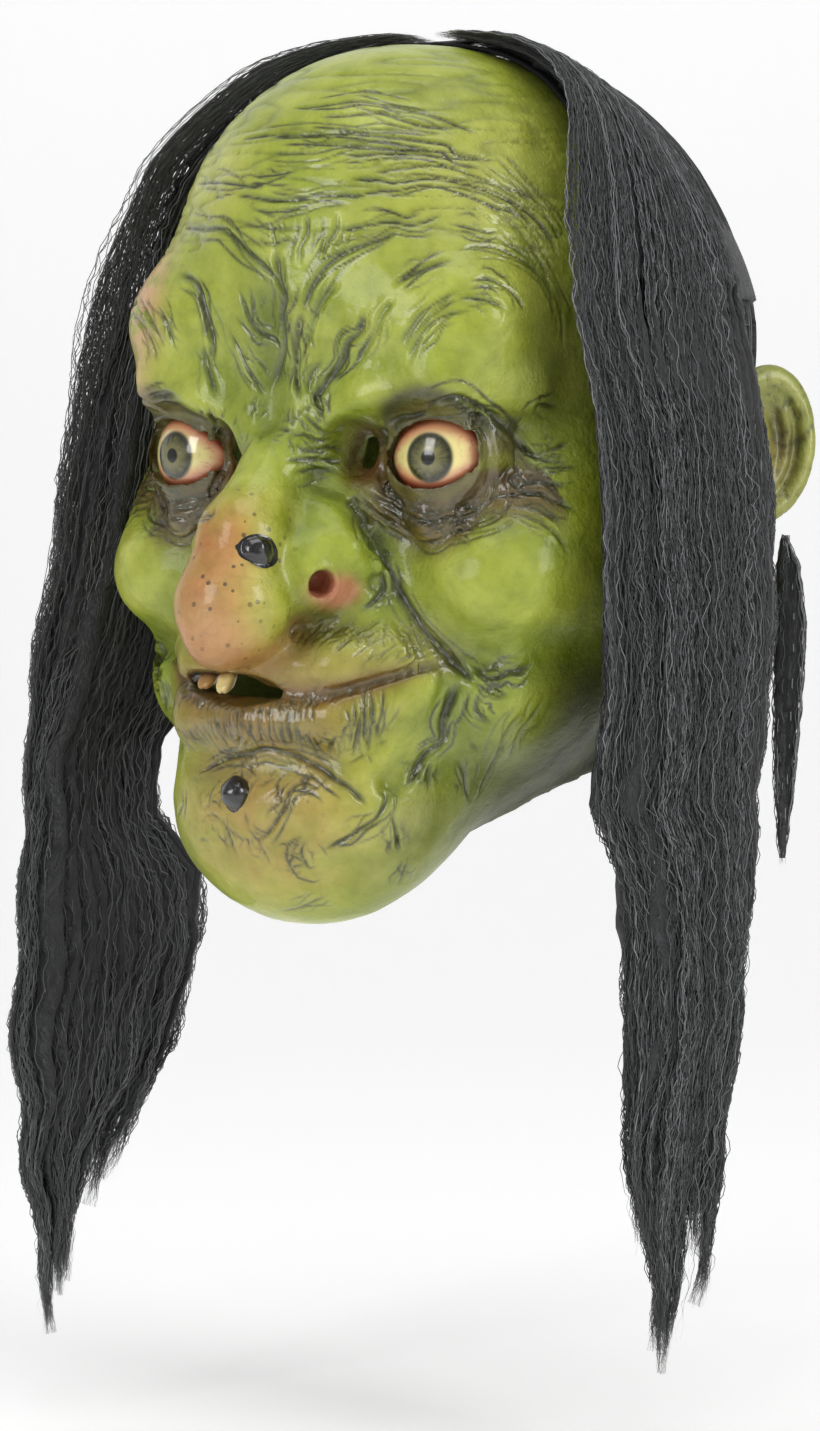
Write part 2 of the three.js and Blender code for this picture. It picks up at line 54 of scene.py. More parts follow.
# [kind, sign, blend, mirrored, numbers...]
FORMS = [
 ["ell", 1, 0, 0, 0, -6, -76, 87, 102, 93],
 ["ell", 1, 24, 0, 0, -46, -46, 66, 63, 62],
 ["ell", 1, 20, 0, 0, -34, -125, 80, 66, 80],
 ["ell", 1, 24, 0, 0, -40, -180, 70, 58, 52],
 ["cap", 1, 14, 0, 0, 10, -140, 0, 14, -262, 68, 62],
 ["cap", 1, 16, 1, 20, -70, -214, 56, -30, -172, 27, 27],
 ["ell", 1, 18, 0, 0, -76, -182, 54, 40, 42],
 ["ell", 1, 18, 0, 0, -90, -223, 47.5, 37, 39],
 ["ell", 1, 14, 1, 44, -80, -72, 31, 26, 25],
 ["cap", 1, 8, 1, 13, -101, -104, 32, -99, -96, 8, 9],
 ["cap", 1, 8, 1, 32, -99, -96, 52, -94, -90, 9, 8.5],
 ["cap", 1, 12, 1, 52, -94, -90, 70, -73, -92, 8.5, 6],
 ["cap", 1, 7, 1, 8, -102, -98, 11, -103, -64, 6, 5],
 ["ell", 1, 14, 1, 72, -50, -138, 20, 32, 32],
 ["ell", 1, 10, 1, 60, -73, -151, 27, 25, 22],
 ["ell", -1, 7, 1, 46, -106, -112, 24, 15, 14],
 ["ell", -1, 5, 1, 25, -102, -111, 8, 12, 9],
 ["cap", 1, 4, 1, 30, -92, -128, 48, -92, -133, 4.0, 5.0],
 ["cap", 1, 5, 1, 48, -92, -133, 64, -82, -126, 5.0, 3.5],
 ["ell", 1, 12, 1, 58, -65, -186, 18, 23, 20],
 ["cap", 1, 9, 0, 0, -98, -100, 0, -108, -116, 12, 10],
 ["cap", 1, 5, 0, 0, -108, -116, 0, -125, -138, 10, 14],
 ["cap", 1, 4, 0, 0, -125, -138, 0, -130, -156, 14, 17],
 ["ell", 1, 5, 0, 0, -131, -160, 18, 18.5, 17],
 ["ell", 1, 4, 0, 0, -137, -168, 11, 12, 11],
 ["ell", 1, 6, 1, 16, -108, -150, 13, 17, 14],
 ["cap", 1, 4, 1, 15, -117, -143, 26, -107, -142, 5, 6],
 ["cap", 1, 4, 1, 26, -107, -142, 31, -97, -152, 6, 6],
 ["cap", 1, 4, 1, 31, -97, -152, 24, -103, -164, 6, 4.5],
 ["cap", 1, 8, 1, 0, -118, -179, 26, -111, -178, 8, 7],
 ["cap", 1, 8, 1, 26, -111, -178, 53, -86, -170, 7, 4.5],
 ["cap", 1, 6, 1, 0, -118, -196, 26, -112, -195, 9.5, 8.5],
 ["cap", 1, 6, 1, 26, -112, -195, 52, -88, -182, 8.5, 5],
 ["cap", -1, 9, 1, 0, -129, -209, 24, -122, -208, 4, 3],
]
# softer secondary forms and recesses that only the skin's visible surface has
FINE = [
 # nasolabial and marionette folds
 ["cap", -1, 7, 1, 34, -101, -152, 51, -99, -170, 1.6, 2.2],
 ["cap", -1, 7, 1, 51, -99, -170, 66, -84, -177, 2.2, 1.4],
 ["cap", -1, 7, 1, 57, -92, -177, 55, -94, -198, 2.0, 2.0],
 ["cap", -1, 7, 1, 55, -94, -198, 42, -106, -214, 2.0, 1.4],
 # slope between nose and cheek
 ["ell", 1, 8, 1, 16, -105, -135, 10, 9, 10],
 # nostril recess
 ["cap", -1, 1.6, 1, 27, -119.5, -152.5, 18, -113, -151, 4.6, 3.4],
 # frown valley and the flanks of the frown folds
 ["cap", -1, 8, 0, 0, -114, -66, 0, -113, -100, 2.2, 3.0],
 ["cap", -1, 8, 1, 22, -113, -72, 21, -114, -92, 1.0, 2.0],
 # seam between the lips
 ["cap", -1, 2.2, 1, 0, -128.5, -187, 26, -121, -187, 1.6, 1.6],
 ["cap", -1, 2.2, 1, 26, -121, -187, 54, -92, -176, 1.6, .8],
 ["ell", -1, 2, 0, -5, -126, -185.5, 16, 14, 5.2],
]


def smin(a, b, k):
    if k <= 0:
        return np.minimum(a, b)
    h = np.maximum(k - np.abs(a - b), 0) / F(k)
    return np.minimum(a, b) - h * h * F(k * 0.25)


def smax(a, b, k):
    return -smin(-a, -b, k)


def ell(x, y, z, p):
    u, v, w = x - F(p[0]), y - F(p[1]), z - F(p[2])
    a, b, c = F(p[3]), F(p[4]), F(p[5])
    k0 = np.sqrt((u / a) ** 2 + (v / b) ** 2 + (w / c) ** 2)
    k1 = np.sqrt((u / a ** 2) ** 2 + (v / b ** 2) ** 2 + (w / c ** 2) ** 2)
    return k0 * (k0 - 1) / np.maximum(k1, F(1e-6))


def cap(x, y, z, p):
    ax, ay, az = p[3] - p[0], p[4] - p[1], p[5] - p[2]
    px, py, pz = x - F(p[0]), y - F(p[1]), z - F(p[2])
    t = np.clip((px * F(ax) + py * F(ay) + pz * F(az)) / F(ax * ax + ay * ay + az * az), 0, 1)
    dx, dy, dz = px - t * F(ax), py - t * F(ay), pz - t * F(az)
    return np.sqrt(dx * dx + dy * dy + dz * dz) - (F(p[6]) + t * F(p[7] - p[6]))


def forms(table, X, Y, Z, d=None):
    A = np.abs(X)
    for p in table:
        v = (ell if p[0] == "ell" else cap)(A if p[3] else X, Y, Z, p[4:])
        d = v if d is None else smin(d, v, p[2]) if p[1] > 0 else smax(d, -v, p[2])
    return d


def eye_local(X, Y, Z):
    """u outward, v up, w forward of the eye on |x|"""
    dx, dy, dz = np.abs(X) - F(EYE_C[0]), Y - F(EYE_C[1]), Z - F(EYE_C[2])
    s, c = math.sin(GAZE), math.cos(GAZE)
    return dx * F(c) + dy * F(s), dz, dx * F(s) - dy * F(c)


def almond(u, v):
    """below zero inside the opening between the lids"""
    t = np.clip((u + F(0.6)) / F(15.6), -1.3, 1.3)
    q = np.maximum(1 - t * t, 0)
    # the upper lid peaks towards the outside, the lower one sags
    top = (F(11.2) + 1.6 * t) * np.power(q, F(0.6))
    bot = (F(9.4) + 0.8 * t) * np.power(q, F(0.58))
    vv = v - F(0.2) - F(0.05) * u
    d1 = np.where(vv > 0, vv - top, -vv - bot)
    return np.maximum(d1 * F(0.85), (np.abs(t) - 1) * F(15.6))


def head(X, Y, Z):
    """outer surface of the latex, with lids but with no openings"""
    d = forms(FORMS, X, Y, Z)
    d = forms(FINE, X, Y, Z, d)
    u, v, w = eye_local(X, Y, Z)
    r = np.sqrt(u * u + v * v + w * w)
    lid = smax(r - F(EYE_R + 3.0), F(2.0) - w, 3)
    d = smin(d, lid, 5)
    # dark crease between lid and socket, upper and lower
    ring = np.sqrt((np.sqrt(u * u + (v * F(1.05)) ** 2) - F(18.6)) ** 2 + (w - F(12.0)) ** 2) - F(1.2)
    d = smax(d, -ring, 3.0)
    d = smin(d, np.maximum(r - F(EYE_R + 2.0), F(3.0) - w), 1.0)
    return d


def rim_z(Y):
    return np.interp(Y, [-200, -64, -62.5, -52, -32, 0, 40, 140], [-300, -300, -253, -238, -223, -211, -204, -200]).astype(F)


def cuts(X, Y, Z):
    """below zero where latex is cut away"""
    u, v, w = eye_local(X, Y, Z)
    op = np.maximum(almond(u, v), F(4) - w)
    c = op
    # sight holes at the inner corners, slanting in towards the nose at the top
    hx = (np.abs(X) - np.where(X < 0, F(26.6), F(23.2)) - F(0.2) * (Z + F(111))) / F(3.7)
    hz = (Z + F(112.0)) / F(7.0)
    c = np.minimum(c, (np.sqrt(hx * hx + hz * hz) - 1) * F(3.7) + np.where(Y > -62, F(9), F(0)))
    # breathing slot between the lips
    mx = (X + F(4.5)) / F(23.0)
    lo = F(-189.2) + F(2.6) * mx * mx
    hi = F(-185.2) - F(0.8) * mx * mx + F(5.4) * np.clip((-X - F(1)) / F(9), 0, 1)
    m = np.maximum(np.maximum(lo - Z, Z - hi), (np.abs(mx) - 1) * F(10))
    m = np.maximum(m, Y + F(80))
    c = np.minimum(c, m)
    # rear slit
    s = np.maximum(np.maximum(np.abs(X) - F(0.9), F(30) - Y), Z + F(140))
    c = np.minimum(c, s)
    # rim
    rim = (Z - rim_z(Y)) * F(0.75)
    c = np.minimum(c, np.maximum(rim, -F(62.5) - Y - 400 * (Z > -250)))
    return c


WALL = 2.8


def sampled(fn, lo, hi, h):
    n = [int(math.ceil((hi[i] - lo[i]) / h)) + 1 for i in range(3)]
    ax = [lo[i] + h * np.arange(n[i], dtype=F) for i in range(3)]
    out = np.empty(n, F)
    step = max(1, int(300000 / (n[1] * n[2])))
    Y, Z = np.meshgrid(ax[1], ax[2], indexing="ij")
    for i in range(0, n[0], step):
        j = min(n[0], i + step)
        shape = (j - i, n[1], n[2])
        out[i:j] = fn(np.broadcast_to(ax[0][i:j, None, None], shape).astype(F), np.broadcast_to(Y, shape), np.broadcast_to(Z, shape))
    return out


def nets(d, lo, h):
    """surface nets: vertices and outward quads of the zero level"""
    nx, ny, nz = d.shape
    s = d < 0
    c = [s[i:nx - 1 + i, j:ny - 1 + j, k:nz - 1 + k] for i in (0, 1) for j in (0, 1) for k in (0, 1)]
    cnt = sum(a.astype(np.int8) for a in c)
    act = (cnt > 0) & (cnt < 8)
    idx = np.full(act.shape, -1, np.int64)
    ii, jj, kk = np.nonzero(act)
    idx[ii, jj, kk] = np.arange(len(ii))
    V = np.zeros((len(ii), 3))
    N = np.zeros(len(ii))
    cor = [(a, b, e) for a in (0, 1) for b in (0, 1) for e in (0, 1)]
    for a in range(8):
        for b in range(a + 1, 8):
            ca, cb = cor[a], cor[b]
            if sum(abs(x - y) for x, y in zip(ca, cb)) != 1:
                continue
            da = d[ii + ca[0], jj + ca[1], kk + ca[2]].astype(float)
            db = d[ii + cb[0], jj + cb[1], kk + cb[2]].astype(float)
            m = (da < 0) != (db < 0)
            t = np.where(m, da / np.where(m, da - db, 1), 0)
            for q in range(3):
                V[:, q] += np.where(m, ca[q] + t * (cb[q] - ca[q]), 0)
            N += m
    V = (V / N[:, None] + np.stack([ii, jj, kk], 1)) * h + np.array(lo)
    Q = []
    for ax in range(3):
        sl, sh = [slice(None)] * 3, [slice(None)] * 3
        sl[ax], sh[ax] = slice(0, -1), slice(1, None)
        P = list(np.nonzero(s[tuple(sl)] != s[tuple(sh)]))
        o1, o2 = [(1, 2), (2, 0), (0, 1)][ax]
        ok = (P[o1] > 0) & (P[o2] > 0) & (P[o1] < d.shape[o1] - 1) & (P[o2] < d.shape[o2] - 1)
        P = [q[ok] for q in P]
        ins = s[P[0], P[1], P[2]]

        def cell(u, v):
            q = [P[0].copy(), P[1].copy(), P[2].copy()]
            q[o1] -= u
            q[o2] -= v
            return idx[q[0], q[1], q[2]]
        quad = np.stack([cell(0, 0), cell(1, 0), cell(1, 1), cell(0, 1)], 1)
        quad[~ins] = quad[~ins][:, ::-1]
        Q.append(quad)
    return V, np.concatenate(Q)


def gradient(fn, V, e=0.3):
    V = V.astype(F)
    g = np.zeros_like(V)
    for i in range(3):
        a, b = V.copy(), V.copy()
        a[:, i] += e
        b[:, i] -= e
        g[:, i] = (fn(a[:, 0], a[:, 1], a[:, 2]) - fn(b[:, 0], b[:, 1], b[:, 2])) / (2 * e)
    return g


def project(fn, V, it=3, lim=1.5):
    V = V.copy()
    for _ in range(it):
        g = gradient(fn, V)
        d = fn(*[V[:, i].astype(F) for i in range(3)])
        st = (d / np.maximum((g * g).sum(1), 0.08))[:, None] * g
        L = np.linalg.norm(st, axis=1, keepdims=True)
        V -= st * np.minimum(1, lim / np.maximum(L, 1e-9))
    return V


def refine(V, T, sel):
    """splits the selected triangles 1 to 4, and their neighbours to match; returns new vertices' parents too"""
    E = np.sort(np.concatenate([T[:, [0, 1]], T[:, [1, 2]], T[:, [2, 0]]]), 1)
    key = E[:, 0].astype(np.int64) * len(V) + E[:, 1]
    uk, inv = np.unique(key, return_inverse=True)
    n = len(T)
    split = np.zeros(len(uk), bool)
    for k in range(3):
        split[inv[k * n:(k + 1) * n][sel]] = True
    mid = np.full(len(uk), -1, np.int64)
    mid[split] = len(V) + np.arange(split.sum())
    a, b = uk[split] // len(V), uk[split] % len(V)
    NV = np.concatenate([V, (V[a] + V[b]) / 2])
    m = np.stack([mid[inv[k * n:(k + 1) * n]] for k in range(3)], 1)
    cnt = (m >= 0).sum(1)
    out = [T[cnt == 0]]
    t, q = T[cnt == 3], m[cnt == 3]
    out += [np.stack([t[:, 0], q[:, 0], q[:, 2]], 1), np.stack([q[:, 0], t[:, 1], q[:, 1]], 1), np.stack([q[:, 2], q[:, 1], t[:, 2]], 1), q]
    for k in range(3):
        r = (cnt == 1) & (m[:, k] >= 0)
        t, q = T[r], m[r, k]
        i, j, l = t[:, k], t[:, (k + 1) % 3], t[:, (k + 2) % 3]
        out += [np.stack([i, q, l], 1), np.stack([q, j, l], 1)]
        r = (cnt == 2) & (m[:, k] < 0)
        t = T[r]
        i, j, l = t[:, k], t[:, (k + 1) % 3], t[:, (k + 2) % 3]
        q1, q2 = m[r, (k + 1) % 3], m[r, (k + 2) % 3]
        out += [np.stack([i, j, q1], 1), np.stack([i, q1, q2], 1), np.stack([q2, q1, l], 1)]
    return NV, np.concatenate(out), a, b


def normals(V, T):
    f = np.cross(V[T[:, 1]] - V[T[:, 0]], V[T[:, 2]] - V[T[:, 0]])
    n = np.zeros_like(V)
    for k in range(3):
        np.add.at(n, T[:, k], f)
    return n / np.maximum(np.linalg.norm(n, axis=1, keepdims=True), 1e-12)


def smoothed(V, T, w, it=1, lam=0.5):
    """umbrella smoothing with a weight for each vertex"""
    E = np.concatenate([T[:, [0, 1]], T[:, [1, 2]], T[:, [2, 0]]])
    for _ in range(it):
        acc = np.zeros_like(V)
        cnt = np.zeros(len(V))
        for a, b in ((0, 1), (1, 0)):
            np.add.at(acc, E[:, a], V[E[:, b]])
            np.add.at(cnt, E[:, a], 1)
        V = V + (acc / np.maximum(cnt, 1)[:, None] - V) * (lam * w)[:, None]
    return V


def mesh_object(name, V_mm, faces, smooth=True):
    me = bpy.data.meshes.new(name)
    V = np.asarray(V_mm, float) / 1000.0
    Fc = np.asarray(faces)
    k = Fc.shape[1]
    me.vertices.add(len(V))
    me.vertices.foreach_set("co", V.astype(np.float32).ravel())
    me.loops.add(Fc.size)
    me.loops.foreach_set("vertex_index", Fc.astype(np.int32).ravel())
    me.polygons.add(len(Fc))
    me.polygons.foreach_set("loop_start", (np.arange(len(Fc)) * k).astype(np.int32))
    me.polygons.foreach_set("loop_total", np.full(len(Fc), k, np.int32))
    me.polygons.foreach_set("use_smooth", np.full(len(Fc), bool(smooth)))
    me.update(calc_edges=True)
    me.validate()
    ob = bpy.data.objects.new(name, me)
    bpy.context.scene.collection.objects.link(ob)
    return ob


def float_attr(ob, name, values):
    a = ob.data.attributes.new(name, "FLOAT", "POINT")
    a.data.foreach_set("value", np.asarray(values, np.float32))


def color_attr(ob, name, rgb):
    a = ob.data.color_attributes.new(name, "FLOAT_COLOR", "POINT")
    c = np.ones((len(rgb), 4), np.float32)
    c[:, :3] = rgb
    a.data.foreach_set("color", c.ravel())


# ------------------------------------------------------------------ deterministic value noise on points
def _hash(i, j, k, seed):
    n = (i * 374761393 + j * 668265263 + k * 2147483647 + seed * 974634777) & 0xFFFFFFFF
    n = ((n ^ (n >> 13)) * 1274126177) & 0xFFFFFFFF
    n = n ^ (n >> 16)
    return (n & 0xFFFF).astype(F) / F(32767.5) - 1


def vnoise(P, scale, seed=0):
    """value noise, -1 to 1, period 1 feature per scale (mm)"""
    Q = np.asarray(P, float) / scale + 1000.0
    I = np.floor(Q).astype(np.int64)
    f = (Q - I).astype(F)
    f = f * f * (3 - 2 * f)
    out = np.zeros(len(P), F)
    for a in (0, 1):
        for b in (0, 1):
            for c in (0, 1):
                w = (f[:, 0] if a else 1 - f[:, 0]) * (f[:, 1] if b else 1 - f[:, 1]) * (f[:, 2] if c else 1 - f[:, 2])
                out += w * _hash(I[:, 0] + a, I[:, 1] + b, I[:, 2] + c, seed)
    return out


def fbm(P, scale, octaves=3, seed=0):
    out, amp, tot = 0, 1.0, 0.0
    for o in range(octaves):
        out = out + vnoise(P, scale / 2 ** o, seed + o * 17) * F(amp)
        tot += amp
        amp *= 0.5
    return out / F(tot)


def srgb(h):
    """#rrggbb to linear"""
    c = [int(h[i:i + 2], 16) / 255 for i in (1, 3, 5)]
    return np.array([x / 12.92 if x <= 0.04045 else ((x + 0.055) / 1.055) ** 2.4 for x in c])


def lerp(a, b, t):
    return a + (b - a) * np.clip(t, 0, 1)[:, None]


def bump01(x, a, b):
    t = np.clip((x - a) / (b - a), 0, 1)
    return t * t * (3 - 2 * t)

# creases: width, depth, ink, then points, in millimetres
WRINKLES = [
 [0.9,0.6,0.9,-5,-93,-3,2,-93,-3,11,-91,-2,17,-88,-2,25,-86,-3,31,-84,-4,36,-82,-5,42,-79,-7,47,-76,-9,52,-72,-12],
 [0.9,0.6,0.8,8,-95,-7,16,-94,-6,21,-91,-6,27,-88,-6,34,-86,-8,40,-83,-10,44,-80,-10,47,-76,-10],
 [1.0,0.8,1.0,-22,-96,-13,-9,-99,-12,0,-100,-12,12,-99,-12,20,-97,-12,28,-94,-13,35,-90,-14,42,-86,-15,47,-82,-16,50,-81,-19,54,-77,-20,58,-71,-21],
 [0.8,0.5,0.5,-6,-103,-18,3,-104,-18,12,-103,-18,18,-100,-17,24,-98,-16,31,-95,-17,37,-92,-17],
 [1.0,0.7,0.6,20,-101,-19,25,-100,-19,30,-97,-19,36,-93,-19,42,-89,-19,48,-84,-20,52,-80,-20,55,-76,-20],
 [0.8,0.6,0.7,-44,-92,-26,-31,-100,-26,-20,-105,-27,-12,-107,-28,-5,-108,-29],
 [0.8,0.6,0.8,-12,-106,-25,-2,-107,-25,4,-107,-24,7,-106,-24],
 [0.8,0.5,0.5,31,-100,-25,36,-96,-24,41,-93,-23,43,-90,-22],
 [1.0,0.8,0.8,25,-103,-27,32,-100,-27,38,-97,-28,44,-92,-27,49,-88,-27,54,-83,-28,58,-78,-30,62,-75,-32,65,-71,-34,68,-66,-38,71,-63,-42,73,-60,-47],
 [1.0,0.8,1.0,-16,-107,-31,-7,-109,-32,1,-110,-33,10,-109,-33,15,-108,-32,21,-106,-32,24,-105,-32,28,-104,-32,32,-102,-31,36,-99,-31],
 [1.3,1.2,1.0,-46,-96,-40,-32,-104,-41,-22,-108,-41,-17,-110,-43,-12,-111,-46,-8,-112,-49,-3,-113,-52,2,-113,-56,5,-113,-59],
 [0.8,0.6,0.7,-12,-111,-40,-4,-112,-41,4,-112,-42,11,-111,-42,14,-110,-42],
 [0.9,0.7,0.8,24,-108,-43,29,-106,-42,34,-103,-41,39,-101,-40,44,-98,-41,48,-94,-40,51,-91,-38],
 [1.4,1.3,1.0,13,-112,-68,15,-112,-63,16,-111,-60,19,-111,-56,23,-109,-52,28,-107,-49,33,-105,-47,38,-102,-45,41,-100,-43],
 [0.8,0.5,0.6,53,-90,-41,58,-86,-42,62,-82,-43,64,-77,-43],
 [1.2,1.0,1.0,43,-106,-60,47,-104,-57,51,-101,-55,55,-98,-53,58,-95,-52],
 [0.9,0.7,0.5,58,-92,-49,61,-86,-48,65,-81,-48,68,-77,-50,71,-72,-53,73,-68,-57,74,-65,-61],
 [1.1,0.9,0.8,64,-94,-59,67,-90,-58,71,-86,-60,73,-83,-63,75,-80,-68],
 [1.1,0.9,0.8,63,-99,-64,66,-96,-64,70,-92,-65,73,-88,-67],
 [1.1,0.9,0.4,46,-106,-78,50,-106,-73,54,-105,-68,59,-102,-64,62,-98,-62],
 [1.0,0.8,0.4,49,-105,-83,52,-105,-77,56,-104,-72,61,-102,-69,66,-97,-68],
 [0.9,0.5,0.3,56,-77,-23,60,-74,-27,64,-70,-32,68,-66,-37,72,-62,-44,74,-60,-51],
 [0.9,0.5,0.3,57,-71,-19,62,-68,-25,67,-64,-31,70,-61,-38,74,-58,-46],
 [0.9,0.6,0.3,56,-83,-33,60,-78,-35,65,-73,-40,70,-69,-47,73,-66,-55,75,-65,-63,75,-65,-72],
 [0.9,0.6,0.3,64,-80,-45,68,-75,-48,71,-69,-53,74,-65,-60,76,-61,-68,76,-60,-78],
 [1.8,1.8,1.0,3,-113,-49,4,-113,-53,5,-113,-59,6,-113,-63,4,-112,-68,4,-112,-72,4,-111,-78,1,-110,-85,-1,-110,-91],
 [1.6,1.6,0.9,13,-112,-68,12,-112,-70,10,-111,-76,10,-111,-82,9,-110,-88,10,-110,-95],
 [1.0,0.9,0.9,-11,-112,-61,-9,-112,-66,-7,-112,-71,-4,-112,-74,1,-111,-77,2,-110,-81],
 [1.0,0.9,0.9,-17,-110,-74,-13,-110,-79,-10,-110,-85,-6,-110,-90,-3,-111,-93],
 [1.6,1.4,0.6,-41,-105,-55,-34,-107,-57,-30,-108,-61,-28,-109,-66,-26,-109,-72,-25,-108,-77,-26,-107,-83],
 [1.0,0.8,0.5,-49,-105,-65,-45,-107,-70,-43,-107,-75,-41,-106,-79],
 [1.6,1.5,1.0,34,-108,-68,33,-108,-72,31,-108,-75,27,-108,-78,25,-107,-83,21,-107,-87,18,-108,-91,16,-109,-95,19,-109,-99],
 [1.2,1.0,0.5,18,-108,-83,14,-109,-88,13,-109,-94],
 [1.0,0.7,0.6,12,-112,-53,12,-112,-48,14,-111,-43,13,-110,-37],
 [1.0,0.7,0.5,21,-110,-52,20,-110,-48,23,-108,-43,23,-107,-38],
 [1.4,0.9,0.2,25,-109,-59,21,-110,-63,18,-111,-68,15,-110,-74,14,-110,-80],
 [1.4,0.9,0.2,44,-106,-64,40,-108,-69,38,-108,-74,34,-107,-79,30,-107,-84],
 [1.4,1.0,0.4,-29,-108,-77,-29,-107,-82,-26,-108,-88,-23,-109,-94],
 [1.0,0.6,0.5,0,-111,-39,2,-112,-44,3,-113,-49],
 [1.3,1.5,1.0,20,-94,-114,22,-91,-111,29,-92,-108,38,-94,-104,45,-96,-100,52,-99,-98],
 [1.5,1.4,0.9,52,-99,-98,56,-102,-96,62,-98,-94,65,-90,-98,67,-84,-101,68,-77,-106,71,-74,-110,75,-73,-114],
 [1.0,0.8,0.9,63,-80,-118,68,-79,-120,75,-79,-124,81,-75,-124],
 [1.0,0.8,0.7,69,-75,-109,74,-73,-112,80,-70,-115],
 [1.2,1.0,0.9,77,-74,-102,78,-73,-98,75,-62,-97],
 [0.9,0.8,0.6,51,-95,-100,58,-92,-101,59,-83,-106,61,-80,-112],
 [0.9,0.7,0.6,60,-82,-106,63,-78,-111,67,-78,-117],
 [0.9,0.8,0.8,32,-96,-122,38,-95,-124,45,-92,-126,50,-87,-125,56,-84,-123,60,-81,-120],
 [1.0,0.9,0.9,28,-98,-124,35,-98,-128,46,-99,-132,54,-98,-132,60,-92,-131,64,-87,-127,68,-84,-125,72,-80,-124],
 [1.0,0.8,0.8,25,-99,-126,30,-98,-130,36,-95,-134,43,-93,-138,53,-95,-139],
 [0.8,0.5,0.7,36,-98,-127,44,-98,-129,53,-98,-130,58,-92,-128,61,-87,-125],
 [0.8,0.5,0.6,58,-93,-138,64,-94,-140],
 [0.8,0.5,0.6,57,-94,-135,61,-91,-134,64,-88,-132],
 [0.9,0.8,0.8,9,-115,-114,12,-109,-114,16,-103,-114,18,-97,-115],
 [0.9,0.8,0.9,10,-112,-110,14,-109,-111,17,-103,-110,18,-96,-111],
 [1.0,0.9,1.0,8,-113,-107,12,-111,-106,16,-108,-108,18,-102,-107],
 [0.9,0.8,0.9,2,-113,-102,6,-113,-104,10,-112,-106],
 [0.9,0.7,0.5,11,-114,-118,13,-105,-117,19,-100,-118],
 [1.0,0.9,0.9,14,-109,-92,17,-109,-96,18,-109,-100,16,-110,-103],
 [1.0,0.9,0.9,12,-111,-99,16,-110,-103,18,-105,-106],
 [1.0,0.9,0.9,-6,-111,-94,-8,-112,-99,-9,-112,-101],
 [1.2,1.0,0.9,-26,-110,-97,-26,-108,-100,-33,-96,-104],
 [2.2,1.6,0.25,14,-101,-135,18,-100,-132,22,-98,-134,31,-104,-139,31,-98,-143,32,-97,-148],
 [1.2,1.2,0.6,32,-97,-148,34,-98,-154,33,-102,-158,30,-105,-161],
 [2.4,3.0,0.8,32,-97,-145,36,-95,-152,41,-95,-159,46,-94,-166,51,-92,-172,55,-88,-178,61,-87,-183],
 [1.3,1.4,0.9,61,-87,-183,67,-86,-186,72,-83,-187],
 [0.9,0.7,0.7,63,-86,-180,67,-85,-180,71,-81,-180],
 [0.9,0.7,0.2,17,-113,-168,20,-112,-164,23,-110,-162],
 [0.9,0.7,0.3,23,-118,-172,25,-112,-167,28,-107,-164],
 [0.9,0.7,0.3,29,-118,-174,31,-110,-168,34,-105,-165,36,-102,-163],
 [0.9,0.7,0.3,34,-115,-175,37,-108,-170,40,-103,-166],
 [0.9,0.7,0.3,38,-110,-177,42,-106,-172,44,-102,-170],
 [0.9,0.7,0.3,42,-105,-178,46,-102,-175,47,-98,-172],
 [0.9,0.7,0.3,47,-101,-177,49,-98,-174,51,-94,-173],
 [1.4,1.3,0.9,-55,-103,-94,-46,-106,-93,-40,-107,-94],
 [1.0,0.9,0.8,-77,-77,-123,-61,-89,-126,-48,-95,-127,-39,-95,-125,-32,-96,-122],
 [1.0,0.8,0.8,-54,-98,-131,-45,-99,-133,-7,-136,-131,-3,-136,-128],
 [0.9,0.7,0.5,-67,-85,-129,-50,-99,-130,-41,-98,-129,-34,-98,-127],
 [1.0,0.9,0.9,69,-83,-124,73,-79,-124,78,-77,-124,82,-75,-126,85,-72,-128,88,-69,-130],
 [1.0,0.8,0.8,73,-76,-117,78,-73,-116,82,-68,-116,84,-64,-116],
 [1.0,0.8,0.9,75,-72,-111,78,-68,-110,80,-62,-108],
 [1.0,0.8,0.6,75,-76,-119,81,-74,-121,84,-69,-122],
 [0.9,0.6,0.5,70,-84,-130,76,-82,-131,81,-80,-133,85,-77,-137,87,-75,-142],
 [0.9,0.6,0.6,72,-82,-128,79,-79,-129,83,-76,-132,86,-74,-134],
 [1.6,1.4,0.8,59,-85,-178,65,-86,-180,69,-82,-179,73,-79,-179,75,-75,-177],
 [1.4,1.2,0.9,63,-87,-181,68,-86,-185,71,-83,-187],
 [1.3,1.2,1.0,64,-88,-185,62,-88,-189,62,-88,-192,65,-86,-196,66,-85,-196],
 [1.0,1.0,1.0,57,-84,-202,58,-81,-206],
 [1.8,1.6,0.9,55,-89,-183,53,-89,-189,51,-90,-195,50,-89,-201,46,-93,-205,44,-96,-210,43,-98,-215],
 [1.1,0.9,0.9,47,-92,-208,46,-93,-212,45,-93,-217],
 [1.1,0.9,0.8,52,-84,-207,51,-80,-212,50,-78,-217,49,-75,-221],
 [1.0,0.8,0.8,39,-104,-223,39,-102,-228,38,-100,-234],
 [1.1,0.7,0.25,75,-78,-193,71,-80,-198,66,-78,-204,57,-72,-212,50,-71,-220],
 [1.1,0.7,0.2,78,-70,-187,76,-74,-195,72,-76,-202,63,-70,-210],
 [0.8,0.5,0.7,32,-98,-125,40,-98,-130,49,-99,-133,55,-96,-136,55,-94,-139],
 [0.8,0.5,0.7,59,-92,-135,64,-94,-139],
 [1.4,1.3,0.9,-22,-118,-213,-17,-119,-210,-9,-121,-207,0,-123,-206,6,-122,-204,12,-120,-205,16,-119,-206,20,-117,-208,24,-116,-210,28,-115,-213,32,-113,-216,35,-110,-221],
